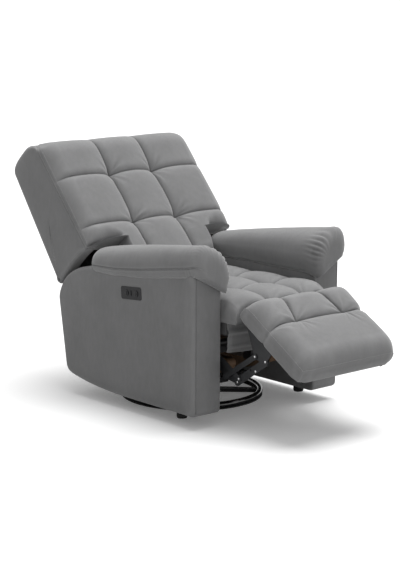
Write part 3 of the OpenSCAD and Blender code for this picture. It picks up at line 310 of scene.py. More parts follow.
def plastic_finish(name, colour, rough):
    """Moulded plastic with a fine spark texture."""
    finish = Finish(name)
    spark = finish.noise(1500.0, 2.0, 0.6)
    cloud = finish.noise(30.0, 3.0, 0.5)
    finish.set(Base_Color=finish.blend(cloud, shade(colour, 0.85), shade(colour, 1.2)),
               Roughness=rough + 0.08 * spark, Specular_IOR_Level=0.45)
    finish.bump(spark, 0.00015, 0.3)
    return finish.material


FINISHES = {}


def finish_of(name):
    """Makes each material once."""
    if name not in FINISHES:
        makers = {
            "cloth": lambda: cloth_finish("grey_suede"),
            # A darker copy of the suede: painted shade under the seat and along the arms' front seams
            "cloth_painted_shade": lambda: cloth_finish("grey_suede_painted_shade", 0.8),
            "dust_cloth": lambda: cloth_finish("black_dust_cloth", 0.12),
            "thread": thread_finish,
            "ring_paint": lambda: paint_finish("ring_gloss_black", tuple(colours().ring), 0.12, 300.0, 0.6),
            "link_paint": lambda: paint_finish("linkage_satin_black", tuple(colours().linkage), 0.42),
            "zinc": lambda: zinc_finish("zinc_plate"),
            "rivet": lambda: zinc_finish("bright_rivet", (0.75, 0.75, 0.76), 0.2),
            "ply": lambda: ply_finish("stained_ply", tuple(colours().ply)),
            "rubber": lambda: plastic_finish("black_rubber", (0.012, 0.012, 0.012), 0.75),
            "plastic": lambda: plastic_finish("black_moulding", (0.022, 0.022, 0.024), 0.42),
            "switch": lambda: plastic_finish("switch_moulding", (0.016, 0.016, 0.018), 0.30),
            "button": lambda: plastic_finish("button_moulding", (0.020, 0.020, 0.022), 0.28),
            "mark": lambda: plastic_finish("button_mark", (0.003, 0.003, 0.003), 0.5),
        }
        FINISHES[name] = makers[name]()
    return FINISHES[name]


# Meshes from arrays

def strip_faces(rows, cols, wrap, first):
    """Quads of a grid of points, row by row, with each row closed round if asked."""
    a, b = np.meshgrid(np.arange(rows - 1), np.arange(cols if wrap else cols - 1), indexing="ij")
    c, d = a + 1, (b + 1) % cols
    quads = np.stack([a * cols + b, c * cols + b, c * cols + d, a * cols + d], -1)
    return quads.reshape(-1, 4) + first


def piece(name, grids, body, material, replaces=(), weld=2e-5):
    """One object from grids given as (points, whether their rows close round), welded and facing outwards."""
    points, quads, first = [], [], 0
    for grid, wrap in grids:
        rows, cols = grid.shape[:2]
        points.append(grid.reshape(-1, 3))
        quads.append(strip_faces(rows, cols, wrap, first))
        first += rows * cols
    points = np.concatenate(points).astype(np.float32)
    quads = np.concatenate(quads).astype(np.int32)
    mesh = bpy.data.meshes.new(name)
    mesh.vertices.add(len(points))
    mesh.vertices.foreach_set("co", points.ravel())
    mesh.loops.add(quads.size)
    mesh.loops.foreach_set("vertex_index", quads.ravel())
    mesh.polygons.add(len(quads))
    mesh.polygons.foreach_set("loop_start", np.arange(0, quads.size, 4, dtype=np.int32))
    mesh.update(calc_edges=True)
    if weld:
        shell = bmesh.new()
        shell.from_mesh(mesh)
        bmesh.ops.remove_doubles(shell, verts=shell.verts, dist=weld)
        bmesh.ops.dissolve_degenerate(shell, edges=shell.edges, dist=weld / 4)
        bmesh.ops.recalc_face_normals(shell, faces=shell.faces)
        shell.to_mesh(mesh)
        shell.free()
    mesh.polygons.foreach_set("use_smooth", np.ones(len(mesh.polygons), dtype=bool))
    mesh.materials.append(finish_of(material))
    thing = bpy.data.objects.new(name, mesh)
    bpy.context.scene.collection.objects.link(thing)
    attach(thing, body)
    if replaces:
        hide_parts(*replaces)
    return thing


def padded(name, grids, body, nodes):
    """Piece of grey suede over stuffing, in place of the given nodes."""
    piece(name, grids, body, "cloth", nodes)


def enclosed(top, bottom, band):
    """Grids of a closed form: two faces and the band round them."""
    return [(top, False), (bottom, False), (band, True)]


def rim(grid):
    """The outline of a grid of points, once round."""
    return np.concatenate([grid[0, :-1], grid[:-1, -1], grid[-1, :0:-1], grid[:0:-1, 0]])


def boxing(top, bottom, rows, bulge):
    """Side band between two outlines: straight lines between them, swollen outwards by a half sine."""
    up, low = rim(top), rim(bottom)
    t = np.linspace(0, 1, rows)[:, None, None]
    along = np.roll(up, -1, 0) - np.roll(up, 1, 0)
    out = np.cross(along, up - low)
    size = np.linalg.norm(out, axis=1, keepdims=True)
    out = out / np.where(size < 1e-9, 1, size)
    middle = up.mean(0)
    if ((up - middle) * out).sum() < 0:
        out = -out
    return up * (1 - t) + low * t + out * bulge * np.sin(np.pi * t)


def tube(path, radius, sides):
    """Round tube along a path: circles square to it, turned with its own frame."""
    along = np.gradient(path, axis=0)
    along = along / np.linalg.norm(along, axis=1, keepdims=True)
    side = np.cross(along, (0.13, 0.27, 0.95))
    side = side / np.linalg.norm(side, axis=1, keepdims=True)
    other = np.cross(along, side)
    turn = np.linspace(0, 2 * np.pi, sides, endpoint=False)
    ring = np.cos(turn)[None, :, None] * side[:, None] + np.sin(turn)[None, :, None] * other[:, None]
    grid = path[:, None] + ring * np.broadcast_to(radius, len(path))[:, None, None]
    ends = [np.repeat(path[at, None], sides, 1) for at in (slice(None, 1), slice(-1, None))]
    return np.concatenate([ends[0], grid, ends[1]]), True


def along_path(path, spacing):
    """Points at an even spacing along a path, found by linear interpolation on its length."""
    path = np.asarray(path, float)
    length = np.concatenate([[0], np.cumsum(np.linalg.norm(np.diff(path, axis=0), axis=1))])
    count = max(2, int(length[-1] / spacing))
    at = np.linspace(0, length[-1], count)
    return np.stack([np.interp(at, length, path[:, k]) for k in range(3)], 1)


STITCH_STEP = 0.0052
STITCH_SHARE = 0.68
STITCH_LIFT = 0.0007


def stitches(name, paths, body):
    """Topstitching: short rounded thread runs along each path, each dipping into the cloth at its ends."""
    radius = sizes().thread_radius
    grids = []
    for path in paths:
        points = along_path(path, STITCH_STEP)
        steps = np.diff(points, axis=0)
        for start, step in zip(points[:-1], steps):
            grids.append(tube(start + step * STITCH_SHARE * np.array([[0.0], [0.5], [1.0]]),
                              np.array([0.5, 1.0, 0.5]) * radius, 5))
    return piece(name, grids, body, "thread", weld=0)


# Sewn surfaces

NOISE_WAVES = 9
FOLDS = (11, 16, 8)
TUFT_REACH = 0.034
SQUEEZE = 1.6
NO_SEAM = 9.0


def smooth(t):
    """Smooth step from 0 to 1: three t squared less two t cubed."""
    t = np.clip(t, 0, 1)
    return t * t * (3 - 2 * t)


def quarter(t):
    """Quarter round that rises from 0 to 1: the root of 1 less the square of what is left of t."""
    return np.sqrt(1 - (1 - np.clip(t, 0, 1)) ** 2)


def dome(a, power=2.1):
    """Section of a stuffed block from -1 to 1: 1 less a power of the distance, and all of it raised to 0.72."""
    return np.clip(1 - np.abs(a) ** power, 0, 1) ** 0.72


def in_blocks(v, edges):
    """Place of each value in its block, from -1 to 1, and how far it lies from the nearest inner edge."""
    edges = np.asarray(edges, float)
    k = np.clip(np.searchsorted(edges, v, side="right") - 1, 0, len(edges) - 2)
    low, high = edges[k], edges[k + 1]
    inner = edges[1:-1]
    gap = np.abs(v[..., None] - inner).min(-1) if len(inner) else np.full(v.shape, NO_SEAM)
    return 2 * (v - low) / (high - low) - 1, gap


def soft_noise(x, y, seed, low=2.0, high=16.0):
    """Gentle unevenness: a sum of sine waves with random directions and phases."""
    rng = np.random.default_rng(seed)
    total = np.zeros_like(x)
    for _ in range(NOISE_WAVES):
        turn, size, phase = rng.uniform(0, 2 * np.pi), rng.uniform(low, high), rng.uniform(0, 2 * np.pi)
        total += np.sin(2 * np.pi * size * (x * math.cos(turn) + y * math.sin(turn)) + phase) / (1 + size / low)
    return total / NOISE_WAVES


def creases(x, y, spots, reach, seed):
    """Creases that fan out of each tuft: sharpened waves round it, stronger on some sides, fading with distance."""
    rng = np.random.default_rng(seed)
    total = np.zeros_like(x)
    for sx, sy in spots:
        dx, dy = x - sx, y - sy
        r = np.hypot(dx, dy) + 1e-9
        turn = np.arctan2(dy, dx)
        wave = np.zeros_like(x)
        for n in FOLDS:
            wave += (0.5 - np.abs(np.sin(n * turn / 2 + rng.uniform(0, 3.1) + 5 * r))) * rng.uniform(0.6, 1.0)
        side = 0.45 + 0.55 * np.cos(turn - rng.uniform(0, 6.28)) ** 2
        total += wave * side * np.exp(-((r - reach * 0.34) / (reach * 0.50)) ** 2)
    return total / 2


def valley(gap):
    """Depth of a seam by the distance from it: soft shoulders and a narrow groove."""
    return 0.0088 * np.exp(-(gap / 0.012) ** 1.4) + 0.0030 * np.exp(-(gap / 0.0032) ** 2)


def tufted(x, y, cols, rows, crown, depth, seed, floor=0.78, spots=None):
    """Height of sewn blocks above their seams: a dome in each, a groove on each seam, and tufts where they cross.

    height = crown times the two domes, less valley, less depth times the nearest tuft's exponential fall, plus
    creases and a little noise. floor is the share of the crown that stays at the ends of a column's blocks."""
    a, gap_x = in_blocks(x, cols)
    b, gap_y = in_blocks(y, rows)
    height = crown * dome(a) * (floor + (1 - floor) * dome(b))
    if spots is None:
        spots = [(cx, cy) for cx in cols[1:-1] for cy in rows[1:-1]]
    pull = np.zeros_like(x)
    for sx, sy in spots:
        pull = np.maximum(pull, np.exp(-(np.hypot(x - sx, y - sy) / TUFT_REACH) ** 1.25))
    height = height - valley(np.minimum(gap_x, gap_y)) - depth * pull
    height = height + 0.0056 * creases(x, y, spots, 0.085, seed)
    return height + 0.0040 * soft_noise(x, y, seed + 1)


def spread(edges, counts):
    """Values along blocks, packed closer near each seam by a power law."""
    out = []
    for (low, high), n in zip(zip(edges[:-1], edges[1:]), counts):
        t = np.linspace(-1, 1, n + 1)
        t = np.sign(t) * (1 - (1 - np.abs(t)) ** SQUEEZE)
        out.append(low + (high - low) * (t[:-1] + 1) / 2)
    return np.concatenate(out + [np.array([edges[-1]])])


def back_place(x, depth, height):
    """From the back's own frame (forward depth, height up the back) to the chair's."""
    y = BACK_PIVOT[0] + height * math.sin(BACK_LEAN) - depth * math.cos(BACK_LEAN)
    z = BACK_PIVOT[1] + height * math.cos(BACK_LEAN) + depth * math.sin(BACK_LEAN)
    return np.stack(np.broadcast_arrays(x, y, z), -1)


def foot_place(x, along, height):
    """From the footrest's own frame (distance from its rear edge, height off its board) to the chair's."""
    y = FOOT_HINGE[0] - along * math.cos(FOOT_SLOPE) - height * math.sin(FOOT_SLOPE)
    z = FOOT_HINGE[1] - along * math.sin(FOOT_SLOPE) + height * math.cos(FOOT_SLOPE)
    return np.stack(np.broadcast_arrays(x, y, z), -1)


# Cushions

BACK_HALF = 0.380
BACK_COLS = [-BACK_HALF, -0.112, 0.112, BACK_HALF]
BACK_ROWS = [0.122, 0.336, 0.570, 0.784]
BACK_TOP = 0.800
TOP_ROUND = 0.075
BACK_BASE = 0.055
BACK_PAD = 0.036
BACK_CORE = 0.0249
WING_LOW = 0.257
WING_IN = 0.3194
WING_LIP = 0.0482
LOW_HALF = 0.2170


# In the back's own frame s runs up the back and depth runs forwards. BACK_BASE is where the padding starts,
# BACK_PAD is its thickness at the seams, and BACK_CORE its rear face. The wings hang down to WING_LOW, and under
# that the back is only LOW_HALF wide to each side, to pass between the arm pads.

def top_fall(s):
    """Fall of the front faces round the top edge: a quarter circle."""
    return TOP_ROUND * (1 - np.sqrt(1 - np.clip((s - BACK_TOP + TOP_ROUND) / TOP_ROUND, 0, 1) ** 2))


def back_half_width(s):
    """Half the back's width: narrow between the arm pads, and full above the wings' lower edge."""
    full = BACK_HALF - 0.016 * smooth((s - 0.730) / 0.054)
    return LOW_HALF + (full - LOW_HALF) * smooth((s - WING_LOW + 0.0002) / 0.0030)


def back_across(x_full, s):
    """Place across the back: only the outer columns grow narrow between the arm pads."""
    seam = BACK_COLS[2]
    share = np.clip((np.abs(x_full) - seam) / (BACK_HALF - seam), 0, 1)
    return np.where(np.abs(x_full) <= seam, x_full, np.sign(x_full) * (seam + (back_half_width(s) - seam) * share))


def back_height(x_full, s):
    """Front of the back ahead of its frame: padding that rolls off at all sides, with sewn blocks on it.

    depth = base, less the fall round the top edge, plus a product of quarter rounds from the four sides times the
    padding and the blocks. foot and reach place the lower roll: at the wings' lower edge, or between the arms."""
    size = sizes()
    x = np.abs(back_across(x_full, s))
    half = back_half_width(s)
    wide = smooth((s - WING_LOW) / 0.004)
    foot = BACK_ROWS[0] + (WING_LOW - BACK_ROWS[0]) * wide * smooth((x - 0.190) / 0.055)
    reach = 0.060 + wide * (0.037 * smooth((x - 0.235) / 0.060) - 0.022)
    crown = 1 - (1 - np.clip((BACK_ROWS[-1] - s) / 0.100, 0, 1)) ** 2
    side = 0.030 + 0.030 * wide - 0.017 * (1 - wide) * smooth((s - 0.150) / 0.060)
    edge = quarter((half - x) / side) * crown * quarter((s - foot) / reach)
    blocks = tufted(np.where(s < WING_LOW + 0.002, back_across(x_full, s), x_full), s, BACK_COLS, BACK_ROWS,
                    size.back_crown, size.tuft_depth, 11)
    return BACK_BASE - top_fall(s) + edge * (BACK_PAD + blocks)


def corner_drop(across, s):
    """Fall of the back's top corners: 12 mm times a smooth step across and one up the back."""
    return 0.012 * smooth((np.abs(across) - 0.322) / 0.042) * smooth((s - 0.700) / 0.084)


class RECLINER_OT_back_cushion(bpy.types.Operator):
    """Tufted front of the back, three columns by three rows"""
    bl_idname = "recliner.back_cushion"
    bl_label = "Back cushion"

    def execute(self, context):
        xs = spread(BACK_COLS, (52, 44, 52))
        xs = np.sort(np.concatenate([xs, [-WING_IN - 2e-4, -WING_IN, WING_IN, WING_IN + 2e-4]]))
        ss = spread(BACK_ROWS, (44, 44, 44))
        ss = np.sort(np.concatenate([ss, WING_LOW + np.array([-0.0006, 0, 0.0008, 0.0016, 0.0028, 0.004])]))
        x, s = np.meshgrid(xs, ss)
        across = back_across(x, s)
        drop = corner_drop(across, s)
        top = back_place(across, back_height(x, s), s - drop)
        over_wing = (np.abs(across) > WING_IN + 1e-4) & (s > WING_LOW)
        lip = np.where(over_wing, WING_LIP - top_fall(s), BACK_CORE)
        bottom = back_place(across, lip, s - drop)
        edge = boxing(top, bottom, 7, 0.0016)
        padded("back_cushion_tufted", enclosed(top, bottom, edge), "back", ["back_cushion"])
        lines = []
        s_line = np.linspace(WING_LOW + 0.010, 0.781, 90)
        for side in (-1, 1):
            x_line = side * (back_half_width(s_line) - 0.0030)
            height = back_height(x_line, s_line) + STITCH_LIFT
            lines.append(back_place(x_line, height, s_line - corner_drop(BACK_HALF, s_line)))
            for row in BACK_ROWS[1:3]:
                x_row = np.linspace(side * 0.376, side * 0.130, 60)
                lines.append(back_place(x_row, back_height(x_row, np.full(60, row - 0.004)) + 0.0004, row - 0.004))
        stitches("back_topstitch", lines, "back")
        return {"FINISHED"}


SEAT_HALF = 0.2425
SEAT_COLS = [-SEAT_HALF, -0.090, 0.090, SEAT_HALF]
SEAT_ROWS = [-0.552, -0.345, -0.130, 0.104]
SEAT_REAR_HALF = 0.2030
SEAT_SEAM = 0.487
SEAT_UNDER = 0.4006
SEAT_UNDER_FRONT = -0.528


class RECLINER_OT_seat_cushion(bpy.types.Operator):
    """Tufted seat whose front rolls over towards the footrest"""
    bl_idname = "recliner.seat_cushion"
    bl_label = "Seat cushion"

    def execute(self, context):
        size = sizes()
        xs = spread(SEAT_COLS, (36, 38, 36))
        ys = spread(SEAT_ROWS, (40, 34, 34))
        x, y = np.meshgrid(xs, ys)
        t = (y - SEAT_ROWS[0]) / (SEAT_ROWS[-1] - SEAT_ROWS[0])
        spots = [(cx, cy) for cx in SEAT_COLS[1:-1] for cy in SEAT_ROWS[:-1]]
        blocks = tufted(x, y, SEAT_COLS, SEAT_ROWS, size.seat_crown, 0.013, 23, floor=0.62, spots=spots)
        # Seams fall to the rear, and the front edge rolls over
        z = SEAT_SEAM - 0.010 * t + blocks - 0.022 * (1 - quarter((y - SEAT_ROWS[0]) / 0.050))
        z = z - 0.012 * smooth((y - 0.050) / 0.050)
        # The front corners draw in, most at the top
        corner = smooth((np.abs(x) - 0.150) / 0.090) * smooth((-0.400 - y) / 0.150)
        z = z - 0.012 * corner * smooth((-0.470 - y) / 0.080)
        # Behind the arm pads the seat is narrower, to clear the back's frame
        notch = smooth((y - 0.030) / 0.012)
        half = 1 - notch * (SEAT_HALF - SEAT_REAR_HALF) / SEAT_HALF
        draw_in = np.sign(x) * 0.005 * smooth((np.abs(x) - 0.200) / 0.045) * smooth((-0.480 - y) / 0.070)
        top = np.stack([x * half - draw_in, y + 0.024 * corner, z], -1)
        bottom = np.stack([x * half - draw_in, np.maximum(y, SEAT_UNDER_FRONT) + 0.006 * corner,
                           np.full_like(z, SEAT_UNDER)], -1)
        edge = boxing(top, bottom, 15, 0.002)
        # Ahead of the arms nothing holds the sides in, so the stuffing swells them
        lean = np.linspace(0, 1, 15)[:, None]
        free = smooth((-0.452 - edge[..., 1]) / 0.040)
        outer = smooth((np.abs(edge[..., 0]) - 0.2) / 0.02)
        edge[..., 0] += np.sign(edge[..., 0]) * 0.007 * free * np.sin(np.pi * lean ** 0.8) * outer
        edge[..., 1] -= 0.003 * np.sin(np.pi * lean ** 0.9) * smooth((-0.475 - edge[..., 1]) / 0.03)
        padded("seat_cushion_tufted", enclosed(top, bottom, edge), "chassis", ["seat_cushion"])
        return {"FINISHED"}


FOOT_LENGTH = 0.372
FOOT_ROW = 0.152
FOOT_HALF = 0.2515
FOOT_BAND = 0.041
FOOT_PAD = 0.055
FOOT_SEAM_REAR, FOOT_SEAM_FRONT = 0.088, 0.122


def foot_height(x, a):
    """Top of the footrest: padding that rolls off at its edges, a tufted row, a crease and one smooth panel.

    height = band, plus a product of quarter rounds from the edges times the padding with its domes, less the tufts
    and the valleys at the seams."""
    size = sizes()
    seam = FOOT_SEAM_REAR + (FOOT_SEAM_FRONT - FOOT_SEAM_REAR) * np.clip(a / FOOT_ROW, 0, 1)
    share = (np.abs(x) - seam) / (FOOT_HALF - seam)
    stretched = np.where(np.abs(x) < seam, x / seam * 0.1, np.sign(x) * (0.1 + share * 0.15))
    cols, gap_x = in_blocks(stretched, [-0.25, -0.1, 0.1, 0.25])
    rear = a < FOOT_ROW
    b_rear = 2 * a / FOOT_ROW - 1
    b_front = 2 * (a - FOOT_ROW) / (FOOT_LENGTH - FOOT_ROW) - 1
    blocks = dome(cols) * (0.34 + 0.66 * dome(b_rear))
    panel = 0.25 * dome(x / FOOT_HALF, 3.2) + 0.75 * dome(x / FOOT_HALF, 3.2) * dome(b_front)
    edge = quarter((FOOT_HALF - np.abs(x)) / 0.065) * quarter((FOOT_LENGTH - a) / 0.065) * quarter(a / 0.060)
    height = FOOT_PAD + size.foot_crown * np.where(rear, blocks, panel)
    pull = np.zeros_like(x)
    for side in (-1, 1):
        pull = np.maximum(pull, np.exp(-(np.hypot(x - side * FOOT_SEAM_FRONT, a - FOOT_ROW) / 0.034) ** 1.2))
        pull = np.maximum(pull, 0.7 * np.exp(-(np.hypot(x - side * FOOT_HALF, a - FOOT_ROW) / 0.030) ** 1.2))
    height = height - 0.006 * pull - valley(np.minimum(np.abs(a - FOOT_ROW), np.where(rear, gap_x, NO_SEAM)))
    spots = [(place, FOOT_ROW) for place in (-FOOT_SEAM_FRONT, FOOT_SEAM_FRONT, -FOOT_HALF, FOOT_HALF)]
    height = height + 0.0052 * creases(x, a, spots, 0.090, 37) + 0.0034 * soft_noise(x, a, 38)
    return FOOT_BAND + edge * height


def foot_plan(x, a):
    """Rounds the footrest's four corners in plan, each by drawing the points near it inwards."""
    near = smooth((np.abs(x) - 0.205) / 0.050)
    front, back = near * smooth((a - 0.325) / 0.050), near * smooth((0.040 - a) / 0.040)
    pinch = smooth((np.abs(x) - 0.190) / 0.060) * np.exp(-((a - FOOT_ROW) / 0.011) ** 2)
    return x - np.sign(x) * (0.009 * front + 0.005 * back + 0.006 * pinch), a - 0.011 * front + 0.005 * back


class RECLINER_OT_foot_cushion(bpy.types.Operator):
    """Footrest cushion with its sewn band"""
    bl_idname = "recliner.foot_cushion"
    bl_label = "Footrest cushion"

    def execute(self, context):
        xs = spread([-FOOT_HALF, -0.11, 0.11, FOOT_HALF], (36, 36, 36))
        aa = spread([0.0, FOOT_ROW, FOOT_LENGTH], (36, 48))
        x, a = np.meshgrid(xs, aa)
        plan_x, plan_a = foot_plan(x, a)
        top = foot_place(plan_x, plan_a, foot_height(x, a))
        bottom = foot_place(plan_x, plan_a, 0.0)
        edge = boxing(top, bottom, 10, 0.0028)
        padded("footrest_cushion_tufted", enclosed(top, bottom, edge), "footrest", ["foot_cushion"])
        side_a = np.linspace(0.004, 0.368, 110)
        front_x = np.linspace(-0.2475, 0.2475, 130)
        lines = []
        for side in (-1, 1):
            x_line = np.full_like(side_a, side * (FOOT_HALF - 0.0030))
            px, pa = foot_plan(x_line, side_a)
            lines.append(foot_place(px, pa, foot_height(x_line, side_a) + STITCH_LIFT))
        a_line = np.full_like(front_x, FOOT_LENGTH - 0.0030)
        px, pa = foot_plan(front_x, a_line)
        lines.append(foot_place(px, pa, foot_height(front_x, a_line) + STITCH_LIFT))
        stitches("footrest_topstitch", lines, "footrest")
        return {"FINISHED"}


# Padded panels cut to an outline

def bend(a, b, c, n):
    """Quadratic curve from a to c, drawn towards b."""
    t = np.linspace(0, 1, n)[:, None]
    a, b, c = map(np.asarray, (a, b, c))
    return (1 - t) ** 2 * a + 2 * t * (1 - t) * b + t * t * c


def even_outline(points, count):
    """Closed outline resampled to evenly spaced points and lightly rounded."""
    points = np.asarray(points, float)
    closed = np.concatenate([points, points[:1]])
    length = np.concatenate([[0], np.cumsum(np.linalg.norm(np.diff(closed, axis=0), axis=1))])
    at = np.linspace(0, length[-1], count, endpoint=False)
    out = np.stack([np.interp(at, length, closed[:, k]) for k in range(2)], 1)
    for _ in range(2):
        out = (np.roll(out, 1, 0) + 2 * out + np.roll(out, -1, 0)) / 4
    return out


def panel_grid(outline, near, far, round_near, round_far, swell, seed, extra=None):
    """Padded panel round a flat outline, its edges rounded over and its faces swollen away from them.

    outline holds (p, q) points, and near and far are the two faces along the third axis. A face is rings that
    shrink from the outline to its middle. The swelling is 1 less a sum of exponentials of the distance to each
    edge point. extra adds to the near face."""
    along = np.roll(outline, -1, 0) - np.roll(outline, 1, 0)
    inward = np.stack([-along[:, 1], along[:, 0]], 1)
    inward /= np.linalg.norm(inward, axis=1, keepdims=True)
    middle = outline.mean(0)
    if ((middle - outline) * inward).sum() < 0:
        inward = -inward
    sign = 1 if far > near else -1
    round_near, round_far = (np.broadcast_to(r, (len(outline), 1)) for r in (round_near, round_far))
    share = (np.linspace(0, 1, 22) ** 1.4)[1:, None, None]
    turn = np.linspace(0, np.pi / 2, 8)[:, None, None]

    def face(level, direction, radius, more):
        """Rings of a face, and their level swollen along direction."""
        flat = (outline + inward * radius) * (1 - share) + middle * share
        away = np.linalg.norm(flat[:, :, None] - outline[None, None], axis=-1)
        reach, near_edge = away.min(-1), np.exp(-(away / 0.032) ** 2).sum(-1)
        uneven = 0.0022 * soft_noise(flat[..., 0], flat[..., 1], seed, low=1.5, high=7.0)
        rise = swell * np.clip(1 - near_edge / near_edge[0].mean(), 0, 1) + uneven * smooth(reach / 0.06)
        if more is not None:
            rise = rise + more(flat[..., 0], flat[..., 1])
        return flat, level + direction * rise

    def corner(level, direction, radius, more):
        """Quarter round between a face and the side, by the sine and cosine of its turn."""
        flat = outline + inward * radius * (1 - np.sin(turn))
        lift = more(flat[..., 0], flat[..., 1]) * np.cos(turn[..., 0]) if more is not None else 0.0
        return flat, level + direction * (lift - radius[:, 0] * (1 - np.cos(turn[..., 0])))

    near_face, near_level = face(near, -sign, round_near, extra)
    far_face, far_level = face(far, sign, round_far, None)
    near_edge, near_edge_level = corner(near, -sign, round_near, extra)
    far_edge, far_edge_level = corner(far, sign, round_far, None)
    return (np.concatenate([near_face[::-1], near_edge, far_edge[::-1], far_face]),
            np.concatenate([near_level[::-1], near_edge_level, far_edge_level[::-1], far_level]))


ARM_FRONT = -0.446
ARM_TOP = ((ARM_FRONT, 0.596), (0.200, 0.540))


def arm_top(y):
    """Height of the arm panels' straight top edge."""
    return np.interp(y, [p[0] for p in ARM_TOP], [p[1] for p in ARM_TOP])


def arm_outline():
    """Side view of an arm, in y and z, the same as the carcass under it."""
    (front, top), (rear_y, rear_z) = ARM_TOP
    bottom, heel, heel_z, shoulder_y, shoulder_z = 0.050, 0.345, 0.092, 0.394, 0.392
    r, hr = 0.014, 0.026
    mid = lambda a, b, t: a + (b - a) * t
    return np.concatenate([
        bend((front, bottom + r), (front, bottom), (front + r, bottom), 5),
        bend((mid(front, heel, 0.5), bottom), (mid(front, heel, 0.78), bottom), (heel - hr, heel_z - hr * 0.3), 12),
        bend((heel - hr, heel_z - hr * 0.3), (heel, heel_z), (mid(heel, shoulder_y, 0.08), heel_z + hr), 8),
        bend((shoulder_y, shoulder_z), (mid(rear_y, shoulder_y, 0.86), mid(shoulder_z, rear_z, 0.8)),
             (rear_y, rear_z), 16),
        bend((front + r, top), (front, top), (front, top - r), 5),
    ])


def front_flare(y, z):
    """The side panel rises a little towards the seam with the front panel, and hollows behind it."""
    return 0.0042 * smooth((-0.385 - y) / 0.052) - 0.0018 * np.exp(-((y + 0.372) / 0.030) ** 2)


class RECLINER_OT_arm_panels(bpy.types.Operator):
    """Upholstered arm panels with rounded edges"""
    bl_idname = "recliner.arm_panels"
    bl_label = "Arm panels"

    def execute(self, context):
        outline = even_outline(arm_outline(), 280)
        size = sizes()
        z = np.linspace(0.066, 0.580, 140)
        for side, label in ((-1, "right"), (1, "left")):
            flat, x = panel_grid(outline, size.half_width, size.arm_inner + 0.0006, 0.013, 0.008, 0.0030,
                                 41 + side, front_flare)
            grid = np.stack([side * x, flat[..., 0], flat[..., 1]], -1)
            padded("arm_panel_" + label, [(grid, True)], "chassis", ["arm_" + label])
            seam = np.stack([np.full_like(z, side * 0.3715), np.full_like(z, ARM_FRONT - 0.0002), z], 1)
            # The seam is a tube in the darker copy of the suede: a painted shade line
            piece("arm_front_seam_" + label, [tube(seam, 0.0011, 7)], "chassis", "cloth_painted_shade", weld=0)
        return {"FINISHED"}


PAD_FRONT, PAD_REAR = -0.488, 0.176
PAD_OUT, PAD_IN = 0.393, 0.2215
PAD_MID, PAD_HALF = (PAD_IN + PAD_OUT) / 2, (PAD_OUT - PAD_IN) / 2
PAD_SEAM = 0.957


def pad_edges(y):
    """Heights of a pad's crown, outer edge and inner edge at a distance along the arm."""
    t = np.clip((PAD_REAR - y) / (PAD_REAR - PAD_FRONT), 0, 1)
    crown = 0.614 + (0.697 - 0.614) * t + 0.038 * t * (1 - t)
    outer = np.interp(y, [-0.476, -0.410, -0.144, 0.009, 0.154], [0.592, 0.579, 0.540, 0.526, 0.5265])
    inner = 0.5245 - 0.013 * smooth((-0.400 - y) / 0.07)
    return crown, outer, inner


def blunt(t):
    """Blunt end: a superellipse of power 3 that rises from 0 to 1."""
    return (1 - (1 - np.clip(t, 0, 1)) ** 3.0) ** (1 / 3.0)


def pad_point(u, y):
    """Point of a pad's skin: u runs from its inner edge (0) over the crown to its outer edge (1).

    The section is an arch: powers of the cosine and sine of u give its place across and its height. Towards each
    blunt end it shrinks round a low core."""
    crown, outer, inner = pad_edges(y)
    front, rear = blunt((y - PAD_FRONT) / 0.052), blunt((PAD_REAR - y) / 0.045)
    turn = np.pi * u
    across = np.sign(np.cos(turn)) * np.abs(np.cos(turn)) ** 0.72
    base = inner + (outer - inner) * (1 - across) / 2
    z = base + (crown - (outer + inner) / 2) * np.sin(turn) ** 0.66
    x = PAD_MID - PAD_HALF * across
    # The ends close towards a low core, the front one towards its drooping inner corner
    x = x + 0.021 * np.clip(1 - u / 0.13, 0, 1) ** 2 - 0.013 * np.clip(1 - (1 - u) / 0.045, 0, 1) ** 2
    core_x = PAD_MID - 0.012 * (1 - front)
    core_z = (outer + inner) / 2 + 0.026
    keep = np.minimum(front, rear)
    x = core_x + (x - core_x) * (0.40 + 0.60 * keep)
    return x, core_z + (z - core_z) * (0.36 + 0.64 * keep)


